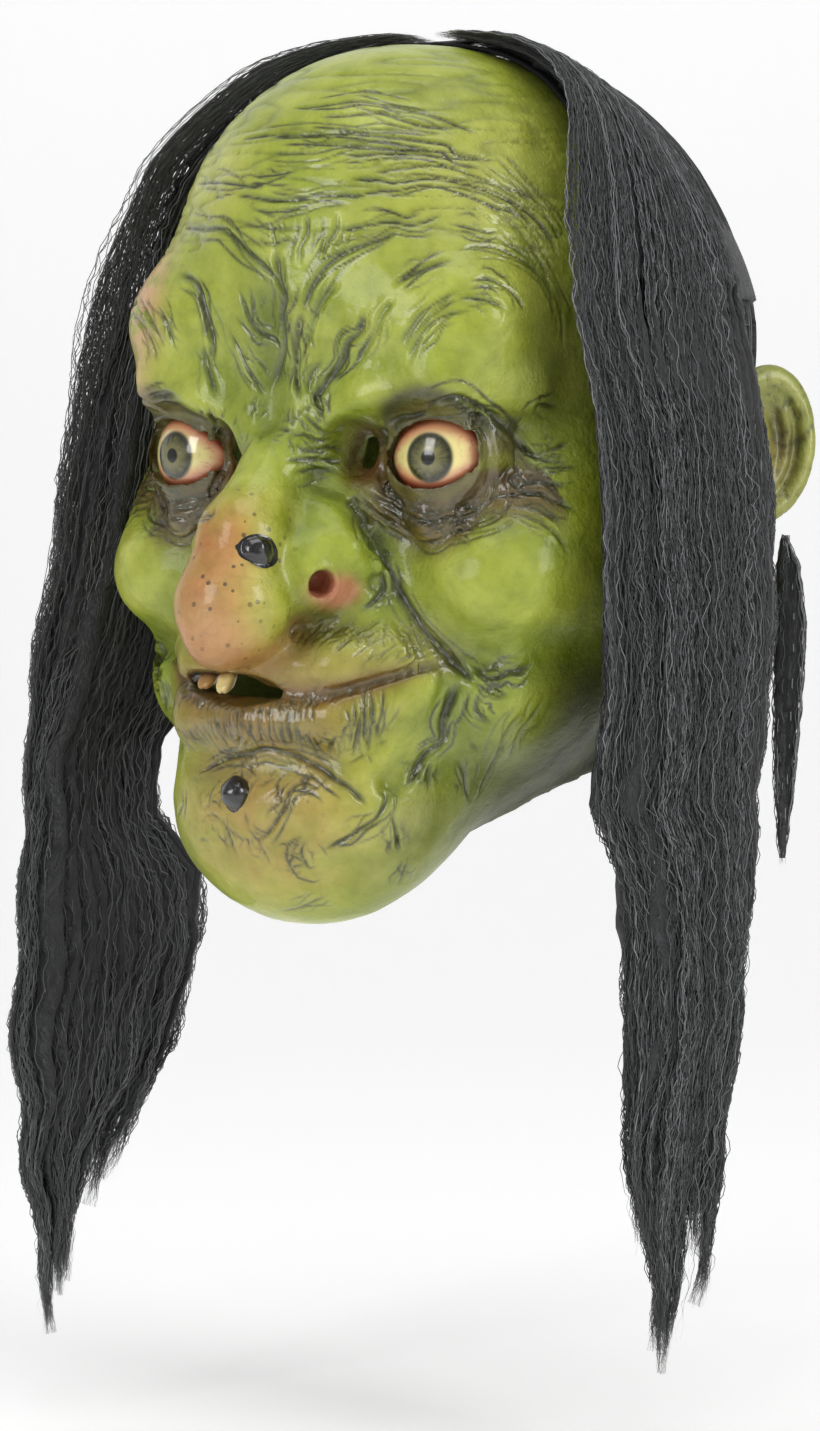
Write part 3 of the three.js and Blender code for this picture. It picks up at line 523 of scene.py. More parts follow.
 [1.2,1.1,0.9,37,-107,-218,38,-105,-220,37,-107,-224,34,-110,-227,31,-113,-230,28,-115,-232,25,-117,-234],
 [1.1,1.0,0.9,21,-118,-210,20,-120,-213,17,-122,-215,16,-124,-218,15,-124,-221,13,-125,-225,10,-126,-229,5,-126,-233],
 [0.9,0.7,0.8,21,-120,-232,20,-121,-233,19,-121,-236,20,-118,-240,22,-117,-239],
 [0.9,0.8,0.8,-8,-126,-226,-6,-126,-230,-5,-125,-234,-4,-124,-237],
 [0.8,0.6,0.7,-16,-124,-226,-12,-125,-225,-8,-126,-227],
 [1.0,0.9,1.0,0,-127,-199,-2,-125,-201,-6,-122,-205],
 [1.0,0.9,0.8,37,-114,-193,36,-114,-198,33,-113,-203],
 [0.9,0.8,0.9,37,-106,-202,39,-104,-201],
 [0.8,0.6,0.9,35,-109,-205,36,-108,-208],
 [1.2,1.0,0.9,45,-94,-210,44,-96,-212,42,-99,-216],
 [0.9,0.8,0.9,-31,-115,-220,-28,-117,-223,-32,-112,-227],
 [0.9,0.6,0.5,5,-126,-233,7,-124,-236,8,-122,-240],
 [0.9,0.7,0.8,39,-102,-227,39,-101,-231,38,-99,-234],
 [0.9,0.7,0.8,39,-96,-236,37,-95,-241,34,-94,-244],
 [0.8,0.6,0.8,13,-120,-242,16,-120,-240,20,-119,-238],
 [0.8,0.5,0.4,21,-110,-249,16,-111,-252,9,-110,-255,2,-109,-256],
 [0.8,0.7,0.9,-3,-122,-208,1,-123,-211,4,-123,-213],
 [0.8,0.6,0.9,8,-121,-210,8,-122,-213],
 [0.8,0.6,0.9,13,-120,-207,16,-119,-209],
 [0.8,0.6,0.9,25,-117,-212,26,-117,-215],
 [0.8,0.6,0.8,30,-118,-202,31,-120,-200,26,-116,-205],
]

# ------------------------------------------------------------------ the latex skin
MESH_T = 7.0      # wall used while meshing, thinned to WALL afterwards
MESH_H = 3.0


def seg_field(P, pts, width):
    """distance of points to a polyline and the position along it, 0 to 1"""
    pts = np.asarray(pts, float)
    L = np.linalg.norm(np.diff(pts, axis=0), axis=1)
    S = np.concatenate([[0], np.cumsum(L)])
    best = np.full(len(P), 1e9)
    at = np.zeros(len(P))
    for i in range(len(L)):
        a, b = pts[i], pts[i + 1]
        ab = b - a
        t = np.clip(((P - a) @ ab) / max(ab @ ab, 1e-9), 0, 1)
        d = np.linalg.norm(P - a - t[:, None] * ab, axis=1)
        m = d < best
        best[m] = d[m]
        at[m] = (S[i] + t[m] * L[i]) / max(S[-1], 1e-9)
    return best, at, S[-1]


def curved(pts, n=4):
    """Catmull-Rom through the points"""
    p = np.asarray(pts, float)
    if len(p) < 3:
        return p
    q = np.concatenate([[2 * p[0] - p[1]], p, [2 * p[-1] - p[-2]]])
    out = []
    for i in range(1, len(q) - 2):
        for k in range(n):
            t = k / n
            out.append(0.5 * ((2 * q[i]) + (-q[i - 1] + q[i + 1]) * t + (2 * q[i - 1] - 5 * q[i] + 4 * q[i + 1] - q[i + 2]) * t * t + (-q[i - 1] + 3 * q[i] - 3 * q[i + 1] + q[i + 2]) * t ** 3))
    out.append(p[-1])
    return np.array(out)


def all_wrinkles():
    """the drawn creases, those of the side of the face on both sides, and finer ones running along with them"""
    main = []
    for w in WRINKLES:
        pts = curved(np.array(w[3:], float).reshape(-1, 3))
        main.append((w[0], w[1], w[2], pts))
        if pts[:, 0].min() > 44:
            main.append((w[0], w[1], w[2], pts * np.array([-1, 1, 1])))
    rng = np.random.default_rng(77)
    # bags under the eyes, folds of the upper lids, lines round the lips
    for sd in (1, -1):
        cx, cy, cz = EYE_C[0] * sd, EYE_C[1], EYE_C[2]
        c, sn = math.cos(GAZE), math.sin(GAZE)

        def on_eye(u, v, w):
            return (cx + sd * (c * u + sn * w), cy + sn * u - c * w, cz + v)
        for k, (rr, a0, a1, wd, dp) in enumerate(((18.0, 205, 338, 0.7, 0.7), (21.0, 212, 345, 0.8, 0.9), (24.5, 218, 348, 0.7, 0.8), (28.0, 228, 340, 0.6, 0.6), (17.8, 20, 150, 0.8, 0.8), (21.0, 12, 140, 0.7, 0.6))):
            arc = [on_eye(rr * math.cos(q) * 1.05, rr * math.sin(q) * (0.86 if k < 4 else 0.8), 14) for q in np.radians(np.linspace(a0, a1, 12))]
            main.append((wd, dp, 0.45, curved(arc)))
    for i, x in enumerate(np.arange(-34, 47, 3.3)):
        j = 1.2 * math.sin(i * 2.4)
        main.append((0.45, 0.4, 0.32, curved([(x * 1.0 + j, -116 + abs(x) * 0.45, -180.5 + abs(x) * 0.12), (x * 0.9 + 1.8, -112 + abs(x) * 0.4, -175 + abs(x) * 0.1), (x * 0.82 + 3.5 + j, -108 + abs(x) * 0.35, -168.5 - 1.2 * math.sin(i * 1.7))])))
    for i, x in enumerate(np.arange(-30, 41, 3.0)):
        j = 1.1 * math.sin(i * 1.9)
        main.append((0.6, 0.5, 0.6, curved([(x + j, -122 + abs(x) * 0.45, -191 + abs(x) * 0.12), (x * 1.02 - 0.8, -124 + abs(x) * 0.4, -196), (x * 0.98 + j * 1.4, -122 + abs(x) * 0.4, -202 - 2.5 * math.sin(i * 2.9))])))
    for i in range(26):
        # short strokes between the brows and on the bridge
        x, z = rng.uniform(-16, 16), rng.uniform(-112, -62)
        L, a = rng.uniform(3, 8), rng.normal(0, 0.5) + x * 0.03
        main.append((0.6, 0.5, rng.uniform(0.6, 1.0), curved([(x, -112, z), (x + L * 0.5 * math.sin(a) + 0.4, -112, z - L * 0.5 * math.cos(a)), (x + L * math.sin(a), -112, z - L * math.cos(a))])))
    for i in range(30):
        # and on the chin
        x, z = rng.uniform(-24, 26), rng.uniform(-238, -202)
        L, a = rng.uniform(3, 9), rng.uniform(-1.3, 1.3)
        main.append((0.5, 0.4, rng.uniform(0.4, 0.9), curved([(x, -124, z), (x + L * 0.5 * math.cos(a), -123, z + L * 0.5 * math.sin(a) + 0.7), (x + L * math.cos(a), -122, z + L * math.sin(a))])))
    out = [(w, d, k, project(head, project(head, p, 4, 6.0), 3)) for w, d, k, p in main]
    for w, d, k, p in list(out):
        L = np.linalg.norm(np.diff(p, axis=0), axis=1).sum()
        if L < 7:
            continue
        n = gradient(head, p, 0.5)
        n /= np.maximum(np.linalg.norm(n, axis=1, keepdims=True), 1e-6)
        t = np.gradient(p, axis=0)
        t /= np.maximum(np.linalg.norm(t, axis=1, keepdims=True), 1e-6)
        across = np.cross(n, t)
        for off in (rng.uniform(1.5, 2.6), -rng.uniform(1.5, 2.6), rng.uniform(3.2, 4.6), -rng.uniform(3.2, 4.6)):
            a, b = rng.uniform(0, 0.35), rng.uniform(0.6, 1.0)
            i0, i1 = int(a * len(p)), max(int(a * len(p)) + 4, int(b * len(p)))
            q = p[i0:i1].copy()
            if len(q) < 4:
                continue
            r = np.linspace(0, 1, len(q))
            bend = off + 0.9 * np.sin(r * rng.uniform(4, 9) + rng.uniform(0, 6)) + (r - 0.5) * rng.uniform(-2.5, 2.5)
            q = project(head, q + across[i0:i1][:len(q)] * bend[:, None], 3)
            out.append((0.45 * rng.uniform(0.7, 1.1), 0.32 * rng.uniform(0.6, 1.1), rng.uniform(0.25, 0.75) * min(1, k + 0.2), q))
    return out


def shell(T, X, Y, Z, slit=0.9):
    d = head(X, Y, Z)
    s = smax(d, -(d + F(T)), 0.8)
    c = cuts(X, Y, Z)
    if slit != 0.9:
        c = np.minimum(c, np.maximum(np.maximum(np.abs(X) - F(slit), F(30) - Y), Z + F(140)))
    return smax(s, -c, 1.4)


def build_skin():
    lo, hi = (-98, -152, -266), (98, 104, 26)
    D = sampled(lambda X, Y, Z: shell(MESH_T, X, Y, Z, 2.6), lo, hi, MESH_H)
    V, Q = nets(D, lo, MESH_H)
    T = np.concatenate([Q[:, [0, 1, 2]], Q[:, [0, 2, 3]]])
    V = project(lambda X, Y, Z: shell(MESH_T, X, Y, Z, 2.6), V, 2)
    # thin the wall
    d = head(*[V[:, i].astype(F) for i in range(3)]).astype(float)
    g = gradient(head, V)
    g /= np.maximum(np.linalg.norm(g, axis=1, keepdims=True), 1e-6)
    V += g * (np.clip(d, -MESH_T - 1, 0) * (WALL / MESH_T - 1))[:, None]
    # close the rear slit up to its real width
    m = (V[:, 1] > 26) & (V[:, 2] < -134) & (np.abs(V[:, 0]) < 9)
    fade = np.clip((-134 - V[m, 2]) / 8, 0, 1)
    ax = np.abs(V[m, 0])
    new = np.where(ax < 2.6, ax * 0.9 / 2.6, 0.9 + (ax - 2.6) * (8.1 / 6.4))
    V[m, 0] = np.sign(V[m, 0]) * (ax + (new - ax) * fade)
    lines = all_wrinkles()
    smp = np.concatenate([l[3] for l in lines])
    kd = KDTree(len(smp))
    for i, p in enumerate(smp):
        kd.insert(p, i)
    kd.balance()

    def outer_tris(V, T):
        c = V[T].mean(1)
        return c, head(*[c[:, i].astype(F) for i in range(3)]) > -0.9

    for level in (1, 2):
        c, out = outer_tris(V, T)
        face = (c[:, 1] < -14) & (c[:, 2] > -262)
        if level == 1:
            sel = out & face & ((c[:, 1] < -36) | (c[:, 2] > -60))
        else:
            near = np.zeros(len(c), bool)
            cand = np.nonzero(out & face & (c[:, 1] < -20))[0]
            for i in cand:
                near[i] = kd.find(c[i])[2] < 4.5
            ac = np.abs(c[:, 0])
            eye = (np.linalg.norm(np.stack([ac - 47, c[:, 1] + 92, c[:, 2] + 113], 1), axis=1) < 27)
            nose = (ac < 30) & (c[:, 2] < -104) & (c[:, 2] > -178) & (c[:, 1] < -96)
            lips = (ac < 56) & (c[:, 2] < -170) & (c[:, 2] > -206) & (c[:, 1] < -84)
            brow = (ac < 30) & (c[:, 2] < -58) & (c[:, 2] > -108) & (c[:, 1] < -90)
            sel = out & face & (near | eye | nose | lips | brow)
        n0 = len(V)
        V, T, pa, pb = refine(V, T, sel)
        new = np.arange(n0, len(V))
        nv = V[new]
        on = head(*[nv[:, i].astype(F) for i in range(3)]) > -1.4
        keep = on & ~((np.abs(nv[:, 0]) < 4) & (nv[:, 1] > 20))
        V[new[keep]] = project(lambda X, Y, Z: shell(WALL, X, Y, Z), nv[keep], 3, 0.8)
    # ease the surface, most of all along cut edges
    dd = head(*[V[:, i].astype(F) for i in range(3)])
    cc = cuts(*[V[:, i].astype(F) for i in range(3)])
    edge = np.exp(-(cc / 1.6) ** 2)
    V = smoothed(V, T, np.clip(0.25 + edge, 0, 1) * (V[:, 1] < 10), 2)
    return V, T, lines


def wrinkle(V, T, lines):
    """pushes the surface in along every crease and heaps it beside; returns the ink laid in the creases"""
    N = normals(V, T)
    outer = head(*[V[:, i].astype(F) for i in range(3)]) > -1.2
    idx = np.nonzero(outer & (V[:, 1] < -5))[0]
    P = V[idx]
    disp = np.zeros(len(P))
    ink = np.zeros(len(P))
    wet = np.zeros(len(P))
    rng = np.random.default_rng(5)
    for w, dep, k, pts in lines:
        lo, hi = pts.min(0) - 6 * w - 2, pts.max(0) + 6 * w + 2
        m = np.nonzero(((P > lo) & (P < hi)).all(1))[0]
        if not len(m):
            continue
        d, t, L = seg_field(P[m], pts, w)
        taper = np.minimum(1, np.minimum(t, 1 - t) * L / 4.5 + 0.12)
        wob = 1 + 0.35 * vnoise(P[m], 3.0, 31)
        s = 0.62 * max(w, 0.5) ** 0.8
        a = min(dep, 1.5) * 0.8 * taper * wob
        disp[m] += -a * np.exp(-(d / s) ** 2) - 0.22 * a * np.exp(-(d / (3 * s)) ** 2) + 0.30 * a * np.exp(-((d - 2.4 * s) / (1.3 * s)) ** 2)
        g = min(1, k * 1.55) * taper * np.exp(-(d / (max(0.45, s * 0.75) * wob)) ** 2)
        ink[m] = np.maximum(ink[m], g)
        ink[m] = np.maximum(ink[m], 0.22 * k * taper * np.exp(-(d / (2.6 * s)) ** 2))
        wet[m] = np.maximum(wet[m], taper * np.exp(-(d / (3.2 * s)) ** 2))
    # fine crinkling of cast latex
    Q = P.copy()
    fore = bump01(P[:, 2], -62, -40) * bump01(P[:, 1], -20, -60)
    Q1 = np.stack([P[:, 0] / 7.0, P[:, 1] / 7.0, P[:, 2]], 1)
    r = 1 - np.abs(vnoise(Q1, 3.1, 3))
    r2 = 1 - np.abs(vnoise(P, 4.6, 9))
    r3 = vnoise(P, 9.0, 4)
    disp += -0.6 * fore * r ** 6 + (1 - fore) * (-0.12 * r2 ** 6) + 0.2 * r3
    ink = np.maximum(ink, 0.34 * fore * r ** 9)
    ink = np.maximum(ink, 0.10 * (1 - fore) * r2 ** 11)
    cc = cuts(*[P[:, i].astype(F) for i in range(3)])
    hold = bump01(cc, 0.4, 2.2)
    # the lids are thin, so creases stay shallow over the eyeball
    uu, vv, ww = eye_local(*[P[:, i].astype(F) for i in range(3)])
    rad = np.sqrt(uu * uu + vv * vv + ww * ww)
    hold = hold * np.where(disp < 0, 0.25 + 0.75 * bump01(rad, 21.0, 24.0), 1)
    V = V.copy()
    V[idx] += N[idx] * (disp * hold)[:, None]
    ink_all = np.zeros(len(V))
    wet_all = np.zeros(len(V))
    ink_all[idx] = ink
    wet_all[idx] = wet
    return V, ink_all, wet_all


def zone(P, c, r, p=2.0):
    q = np.sqrt((((P - np.array(c)) / np.array(r)) ** 2).sum(1))
    return np.exp(-q ** p)


def cavity(V, N, h):
    q = V + N * h
    return np.clip(head(*[q[:, i].astype(F) for i in range(3)]) / h, -0.5, 1.2)


def paint_skin(V, T, ink, wet):
    N = normals(V, T)
    P = V
    X, Y, Z = P[:, 0], P[:, 1], P[:, 2]
    A = np.abs(X)
    PA = np.stack([A, Y, Z], 1)
    n1 = fbm(P, 26, 3, 11)
    # lower rear of the jaw: painted shade, darkening the colour and cutting the gloss at the return
    low = bump01(Y, -84, -50) * bump01(-Z, 165, 200)
    n2 = fbm(P, 7, 3, 12)
    n3 = fbm(P, 2.2, 2, 13)
    c3, c8, c20 = cavity(P, N, 2.5), cavity(P, N, 8.0), cavity(P, N, 18.0)
    dark, mid = srgb("#4b5a12"), srgb("#84952a")
    lit, hi = srgb("#a8b548"), srgb("#c3c86a")
    # painted shade and painted highlight: darker green in the hollows, lighter and yellower green on the rises, from
    # the cavity measures
    shade = 0.55 * c8 + 0.45 * c20
    col = lerp(np.tile(dark, (len(P), 1)), mid, bump01(shade + 0.12 * n2, 0.25, 0.78))
    col = lerp(col, lit, bump01(shade + 0.18 * n1 + 0.1 * n2, 0.72, 1.02) * 0.9)
    col = lerp(col, hi, bump01(c20 + 0.35 * n1 + 0.12 * n2, 0.95, 1.35))
    # painted shade and painted highlight over the whole face: painted shade in the dark centre of the brow, under the
    # jaw and chin, on the jaw sides and by the hair; painted highlights, yellower, on the forehead top, temple and
    # cheek
    col = lerp(col, srgb("#5b6a1c"), 0.55 * zone(P, (0, -110, -78), (16, 25, 30)))
    col = lerp(col, srgb("#5a6420"), 0.5 * bump01(-Z, 214, 246) * bump01(A, 12, 40))
    col = lerp(col, srgb("#383d16"), 0.85 * bump01(-Z, 178, 232) * bump01(A, 34, 58))
    col = lerp(col, srgb("#39411a"), 0.8 * bump01(Y, -72, -38) * bump01(-Z, 150, 190))
    col = lerp(col, srgb("#b7ba66"), 0.6 * zone(PA, (50, -76, -30), (30, 34, 32), 2))
    col = lerp(col, srgb("#a8ac60"), 0.6 * zone(PA, (76, -56, -84), (18, 30, 30), 2))
    col = lerp(col, srgb("#b9be62"), 0.45 * zone(PA, (56, -80, -150), (19, 25, 17)))
    # tan nose
    nose = np.exp(-(A / (10.5 + 5 * bump01(-Z, 120, 165))) ** 4) * bump01(-Z, 118, 138) * bump01(-Y, 108, 117) * (1 - bump01(-Z, 177, 183))
    col = lerp(col, srgb("#b87c4c"), nose * np.clip(0.95 + 0.25 * n2, 0, 1))
    col = lerp(col, srgb("#d0a27c"), 0.75 * zone(P, (4, -146, -166), (13, 12, 13)) * nose)
    col = lerp(col, srgb("#a35f38"), 0.5 * zone(P, (0, -140, -178), (22, 25, 6)))
    col = lerp(col, srgb("#565a22"), 0.6 * zone(PA, (28, -111, -159), (8, 9, 6)))
    # nostrils
    nost = zone(PA, (22, -111, -154), (9.5, 9, 5.6), 4)
    col = lerp(col, srgb("#a4553c"), 0.95 * nost)
    col = lerp(col, srgb("#cf8c74"), 0.75 * nost)
    # lips: upper from green to brown pink, red along the slot, lower orange brown
    mouth = -187 + np.where(A > 26, (A - 26) * 0.36, 0)
    up = np.exp(-((Z - mouth - 8) / 7.5) ** 2) * (A < 60) * (Y < -80)
    lowl = np.exp(-((Z - mouth + 9) / 8.5) ** 2) * (A < 50) * (Y < -80)
    col = lerp(col, srgb("#a07a4a"), 0.62 * up * np.exp(-(A / 46) ** 4) * (0.8 + 0.3 * n2))
    col = lerp(col, srgb("#7d4f28"), 0.85 * lowl * np.exp(-(A / 40) ** 4) * (0.85 + 0.3 * n2))
    rim = np.exp(-((Z - mouth) / 4.6) ** 2) * np.exp(-(A / 50) ** 6) * (Y < -88)
    col = lerp(col, srgb("#7c2c1a"), 0.85 * rim)
    col = lerp(col, srgb("#2a0f0a"), 0.9 * np.exp(-((Z - mouth) / 1.7) ** 2) * np.exp(-(A / 56) ** 8) * (Y < -84))
    # tan chin and muzzle
    col = lerp(col, srgb("#a2834c"), 0.6 * zone(P, (2, -122, -206), (36, 30, 26), 3) * np.clip(0.8 + 0.6 * n2, 0, 1))
    col = lerp(col, srgb("#9c8a4c"), 0.45 * zone(P, (4, -112, -172), (34, 22, 12), 3))
    col = lerp(col, srgb("#b4955c"), 0.85 * zone(P, (4, -120, -228), (31, 28, 24), 3) * np.clip(0.85 + 0.6 * n2, 0, 1))
    # eye sockets: red brown bags, dark lids
    u, v, w = eye_local(*[P[:, i].astype(F) for i in range(3)])
    ro = almond(u, v)
    front = (w > 0) & (Y < -60)
    front = front * bump01(u, -27, -17)
    bag = np.exp(-((ro - 6) / 8.5) ** 2) * bump01(-v, -3, 6) * front
    col = lerp(col, srgb("#43180a"), 0.95 * bag)
    col = lerp(col, srgb("#5e2a14"), 0.6 * np.exp(-((ro - 13) / 4.5) ** 2) * bump01(-v, 2, 10) * front)
    lidu = np.exp(-((ro - 4) / 5.5) ** 2) * bump01(v, -4, 3) * front
    col = lerp(col, srgb("#4a3512"), 0.8 * lidu)
    col = lerp(col, srgb("#1c1a0c"), 0.8 * np.exp(-((ro - 7.2) / 2.2) ** 2) * bump01(v, 0, 6) * front)
    col = lerp(col, srgb("#3a1a10"), 0.85 * np.exp(-(ro / 1.8) ** 2) * front * (np.abs(w) > 8))
    # inner corner: red brown pit round the sight hole
    pit = zone(PA, (24.5, -96, -113), (5.2, 12, 9.5), 3)
    col = lerp(col, srgb("#5a2818"), 0.85 * pit)
    # peeled, pinkish patch by the far temple
    far = zone(P, (-60, -99, -64), (13, 16, 20), 3) * bump01(n2 + 0.35 * n3, -0.5, -0.1)
    col = lerp(col, srgb("#d9ac8c"), 0.92 * far)
    col = lerp(col, srgb("#cfa781"), 0.5 * zone(P, (-58, -102, -88), (6, 8, 7)))
    # painted shade in the small hollows, from the 2.5 mm cavity measure, lightly broken by noise; speckle further down
    col = lerp(col, srgb("#2b3010"), 0.5 * bump01(-c3, -0.55, 0.1) * (1 - 0.3 * n2))
    col = lerp(col, srgb("#cf8874"), 0.8 * zone(PA, (20.5, -112, -152.5), (7.5, 9, 6), 3))
    col = lerp(col, srgb("#5e2416"), 0.85 * zone(PA, (25.5, -98, -113), (6.5, 13, 10), 3))
    col *= (1 + 0.10 * n2 + 0.07 * n3)[:, None]
    # richer, warmer green: less blue overall
    grey = col.mean(1, keepdims=True)
    col = np.clip(grey + (col - grey) * 1.16, 0, 1) * np.array((0.99, 0.97, 0.92))
    col = lerp(col, srgb("#0b0c06"), np.clip(ink * 1.15, 0, 0.97))
    inside = head(*[P[:, i].astype(F) for i in range(3)]) < -1.5
    col[inside] = srgb("#8f9a4a") * (1 + 0.05 * n2[inside])[:, None]
    dk = inside & (A < 40) & (Y < -85) & (Z < -168) & (Z > -204)
    col[dk] = srgb("#2a1410")
    gl = np.clip(0.4 + 0.6 * wet + 0.5 * rim + 0.6 * bag + 0.25 * n1, 0, 1)
    # low: painted shade darkening the lower rear jaw
    return np.clip(col * 0.93 * (1 - 0.45 * low)[:, None], 0, 1), gl * (1 - 0.8 * low)


# ------------------------------------------------------------------ shading helpers
def material(name):
    m = bpy.data.materials.new(name)
    m.use_nodes = True
    t = m.node_tree
    b = next(n for n in t.nodes if n.type == "BSDF_PRINCIPLED")
    return m, t, b


def node(t, kind, **kw):
    n = t.nodes.new(kind)
    for k, v in kw.items():
        setattr(n, k, v)
    return n


def noise(t, vec, scale, detail=3, rough=0.55, dist=0.0):
    n = node(t, "ShaderNodeTexNoise")
    n.inputs["Scale"].default_value = scale
    n.inputs["Detail"].default_value = detail
    n.inputs["Roughness"].default_value = rough
    n.inputs["Distortion"].default_value = dist
    if vec:
        t.links.new(vec, n.inputs["Vector"])
    return n.outputs["Fac"]


def ramp(t, fac, stops):
    n = node(t, "ShaderNodeValToRGB")
    e = n.color_ramp.elements
    while len(e) < len(stops):
        e.new(0.5)
    for el, (p, c) in zip(e, stops):
        el.position = p
        el.color = (*c, 1) if len(c) == 3 else c
    t.links.new(fac, n.inputs["Fac"])
    return n.outputs["Color"]


def attr(t, name, out="Fac"):
    n = node(t, "ShaderNodeAttribute", attribute_name=name)
    return n.outputs[out]


def mathn(t, op, a, b=None):
    n = node(t, "ShaderNodeMath", operation=op)
    for i, v in enumerate((a, b)):
        if v is None:
            continue
        if isinstance(v, (int, float)):
            n.inputs[i].default_value = v
        else:
            t.links.new(v, n.inputs[i])
    return n.outputs[0]


def mix(t, fac, a, b, mode="MIX"):
    n = node(t, "ShaderNodeMix", data_type="RGBA", blend_type=mode)
    for k, v in (("Factor", fac), ("A", a), ("B", b)):
        sock = [s for s in n.inputs if s.name == k and s.enabled][0]
        if isinstance(v, (int, float)):
            sock.default_value = v
        elif isinstance(v, (tuple, list, np.ndarray)):
            sock.default_value = (*[float(c) for c in v][:3], 1)
        else:
            t.links.new(v, sock)
    return [s for s in n.outputs if s.enabled][0]


def bump(t, height, dist, strength=1.0, normal=None):
    n = node(t, "ShaderNodeBump")
    n.inputs["Distance"].default_value = dist
    n.inputs["Strength"].default_value = strength
    t.links.new(height, n.inputs["Height"])
    if normal:
        t.links.new(normal, n.inputs["Normal"])
    return n.outputs["Normal"]


def obj_coords(t):
    return node(t, "ShaderNodeTexCoord").outputs["Object"]


def plain(name, color, rough=0.5, coat=0.0, coat_rough=0.1, spec=0.5, noise_scale=0, amount=0.15, bump_mm=0.0, bump_scale=0):
    m, t, b = material(name)
    oc = obj_coords(t)
    if noise_scale:
        f = noise(t, oc, noise_scale, 4)
        c = ramp(t, f, [(0.25, [x * (1 - amount) for x in color]), (0.75, [min(1, x * (1 + amount)) for x in color])])
        t.links.new(c, b.inputs["Base Color"])
    else:
        b.inputs["Base Color"].default_value = (*color, 1)
    b.inputs["Roughness"].default_value = rough
    b.inputs["Coat Weight"].default_value = coat
    b.inputs["Coat Roughness"].default_value = coat_rough
    b.inputs["Specular IOR Level"].default_value = spec
    if bump_scale:
        t.links.new(bump(t, noise(t, oc, bump_scale, 4), bump_mm / 1000), b.inputs["Normal"])
    return m


def latex_material():
    m, t, b = material("latex_paint")
    oc = obj_coords(t)
    base = attr(t, "paint", "Color")
    # airbrushed mottling
    f = noise(t, oc, 95, 5, 0.6)
    c = mix(t, ramp(t, f, [(0.35, (0.0, 0.0, 0.0)), (0.7, (1.0, 1.0, 1.0))]), mix(t, 0.16, base, (0.05, 0.07, 0.01)), mix(t, 0.10, base, (0.75, 0.78, 0.35)))
    # fine black spatter, thickest on the nose and the chin
    v = node(t, "ShaderNodeTexVoronoi")
    v.inputs["Scale"].default_value = 210
    t.links.new(oc, v.inputs["Vector"])
    dots = mathn(t, "LESS_THAN", v.outputs["Distance"], 0.17)
    dots = mathn(t, "MULTIPLY", dots, attr(t, "spatter"))
    c = mix(t, mathn(t, "MULTIPLY", dots, 0.85), c, (0.012, 0.010, 0.008))
    t.links.new(c, b.inputs["Base Color"])
    b.inputs["Subsurface Weight"].default_value = 0.0
    rough = mathn(t, "MULTIPLY_ADD", attr(t, "gloss"), -0.32)
    rough.node.inputs[2].default_value = 0.62
    t.links.new(rough, b.inputs["Roughness"])
    coat = mathn(t, "MULTIPLY_ADD", attr(t, "gloss"), 0.85)
    coat.node.inputs[2].default_value = 0.04
    t.links.new(coat, b.inputs["Coat Weight"])
    b.inputs["Coat Roughness"].default_value = 0.15
    b.inputs["Coat IOR"].default_value = 1.45
    pores = noise(t, oc, 620, 4, 0.6)
    n0 = bump(t, noise(t, oc, 260, 3, 0.6), 0.0011, 0.6)
    n1 = bump(t, pores, 0.0006, 0.7, n0)
    st = node(t, "ShaderNodeMapping")
    st.inputs["Scale"].default_value = (90, 90, 420)
    t.links.new(oc, st.inputs["Vector"])
    fine = noise(t, st.outputs["Vector"], 1.0, 4, 0.6, 0.4)
    n2 = bump(t, fine, 0.0005, 0.5, n1)
    t.links.new(n2, b.inputs["Normal"])
    return m


def strand_material(name, dark, light, rough=0.42):
    m, t, b = material(name)
    oc = obj_coords(t)
    f = attr(t, "tone")
    c = ramp(t, f, [(0.0, dark), (0.72, [d + (l - d) * 0.35 for d, l in zip(dark, light)]), (1.0, light)])
    t.links.new(c, b.inputs["Base Color"])
    b.inputs["Roughness"].default_value = rough
    b.inputs["Specular IOR Level"].default_value = 0.55
    b.inputs["Sheen Weight"].default_value = 0.12
    b.inputs["Sheen Roughness"].default_value = 0.4
    return m


def mass_material():
    """combed and crimped fibre: dark ground, lighter wavy strands"""
    m, t, b = material("hair_mass")
    # hs: millimetres across the strands, ht: along them
    hs, ht = attr(t, "hs"), attr(t, "ht")
    comb = node(t, "ShaderNodeCombineXYZ")
    t.links.new(hs, comb.inputs[0])
    t.links.new(ht, comb.inputs[1])
    mp = node(t, "ShaderNodeMapping")
    mp.inputs["Scale"].default_value = (0.16, 0.22, 1)
    t.links.new(comb.outputs[0], mp.inputs["Vector"])
    wob = noise(t, mp.outputs[0], 1.0, 2)
    hs2 = mathn(t, "ADD", hs, mathn(t, "MULTIPLY", wob, 6.5))
    comb2 = node(t, "ShaderNodeCombineXYZ")
    t.links.new(mathn(t, "MULTIPLY", hs2, 1.5), comb2.inputs[0])
    t.links.new(mathn(t, "MULTIPLY", ht, 0.10), comb2.inputs[1])
    f = noise(t, comb2.outputs[0], 1.0, 3, 0.6)
    c = ramp(t, f, [(0.30, srgb("#0e0e0f")), (0.52, srgb("#232426")), (0.70, srgb("#3c3e40")), (0.85, srgb("#606365"))])
    t.links.new(c, b.inputs["Base Color"])
    b.inputs["Roughness"].default_value = 0.5
    t.links.new(bump(t, f, 0.0012, 0.9), b.inputs["Normal"])
    return m


def use(ob, mat, slot, *nodes_replaced, body=None, pad=None):
    ob.data.materials.append(mat)
    if body:
        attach(ob, body)
    if nodes_replaced:
        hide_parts(*nodes_replaced)
    return ob


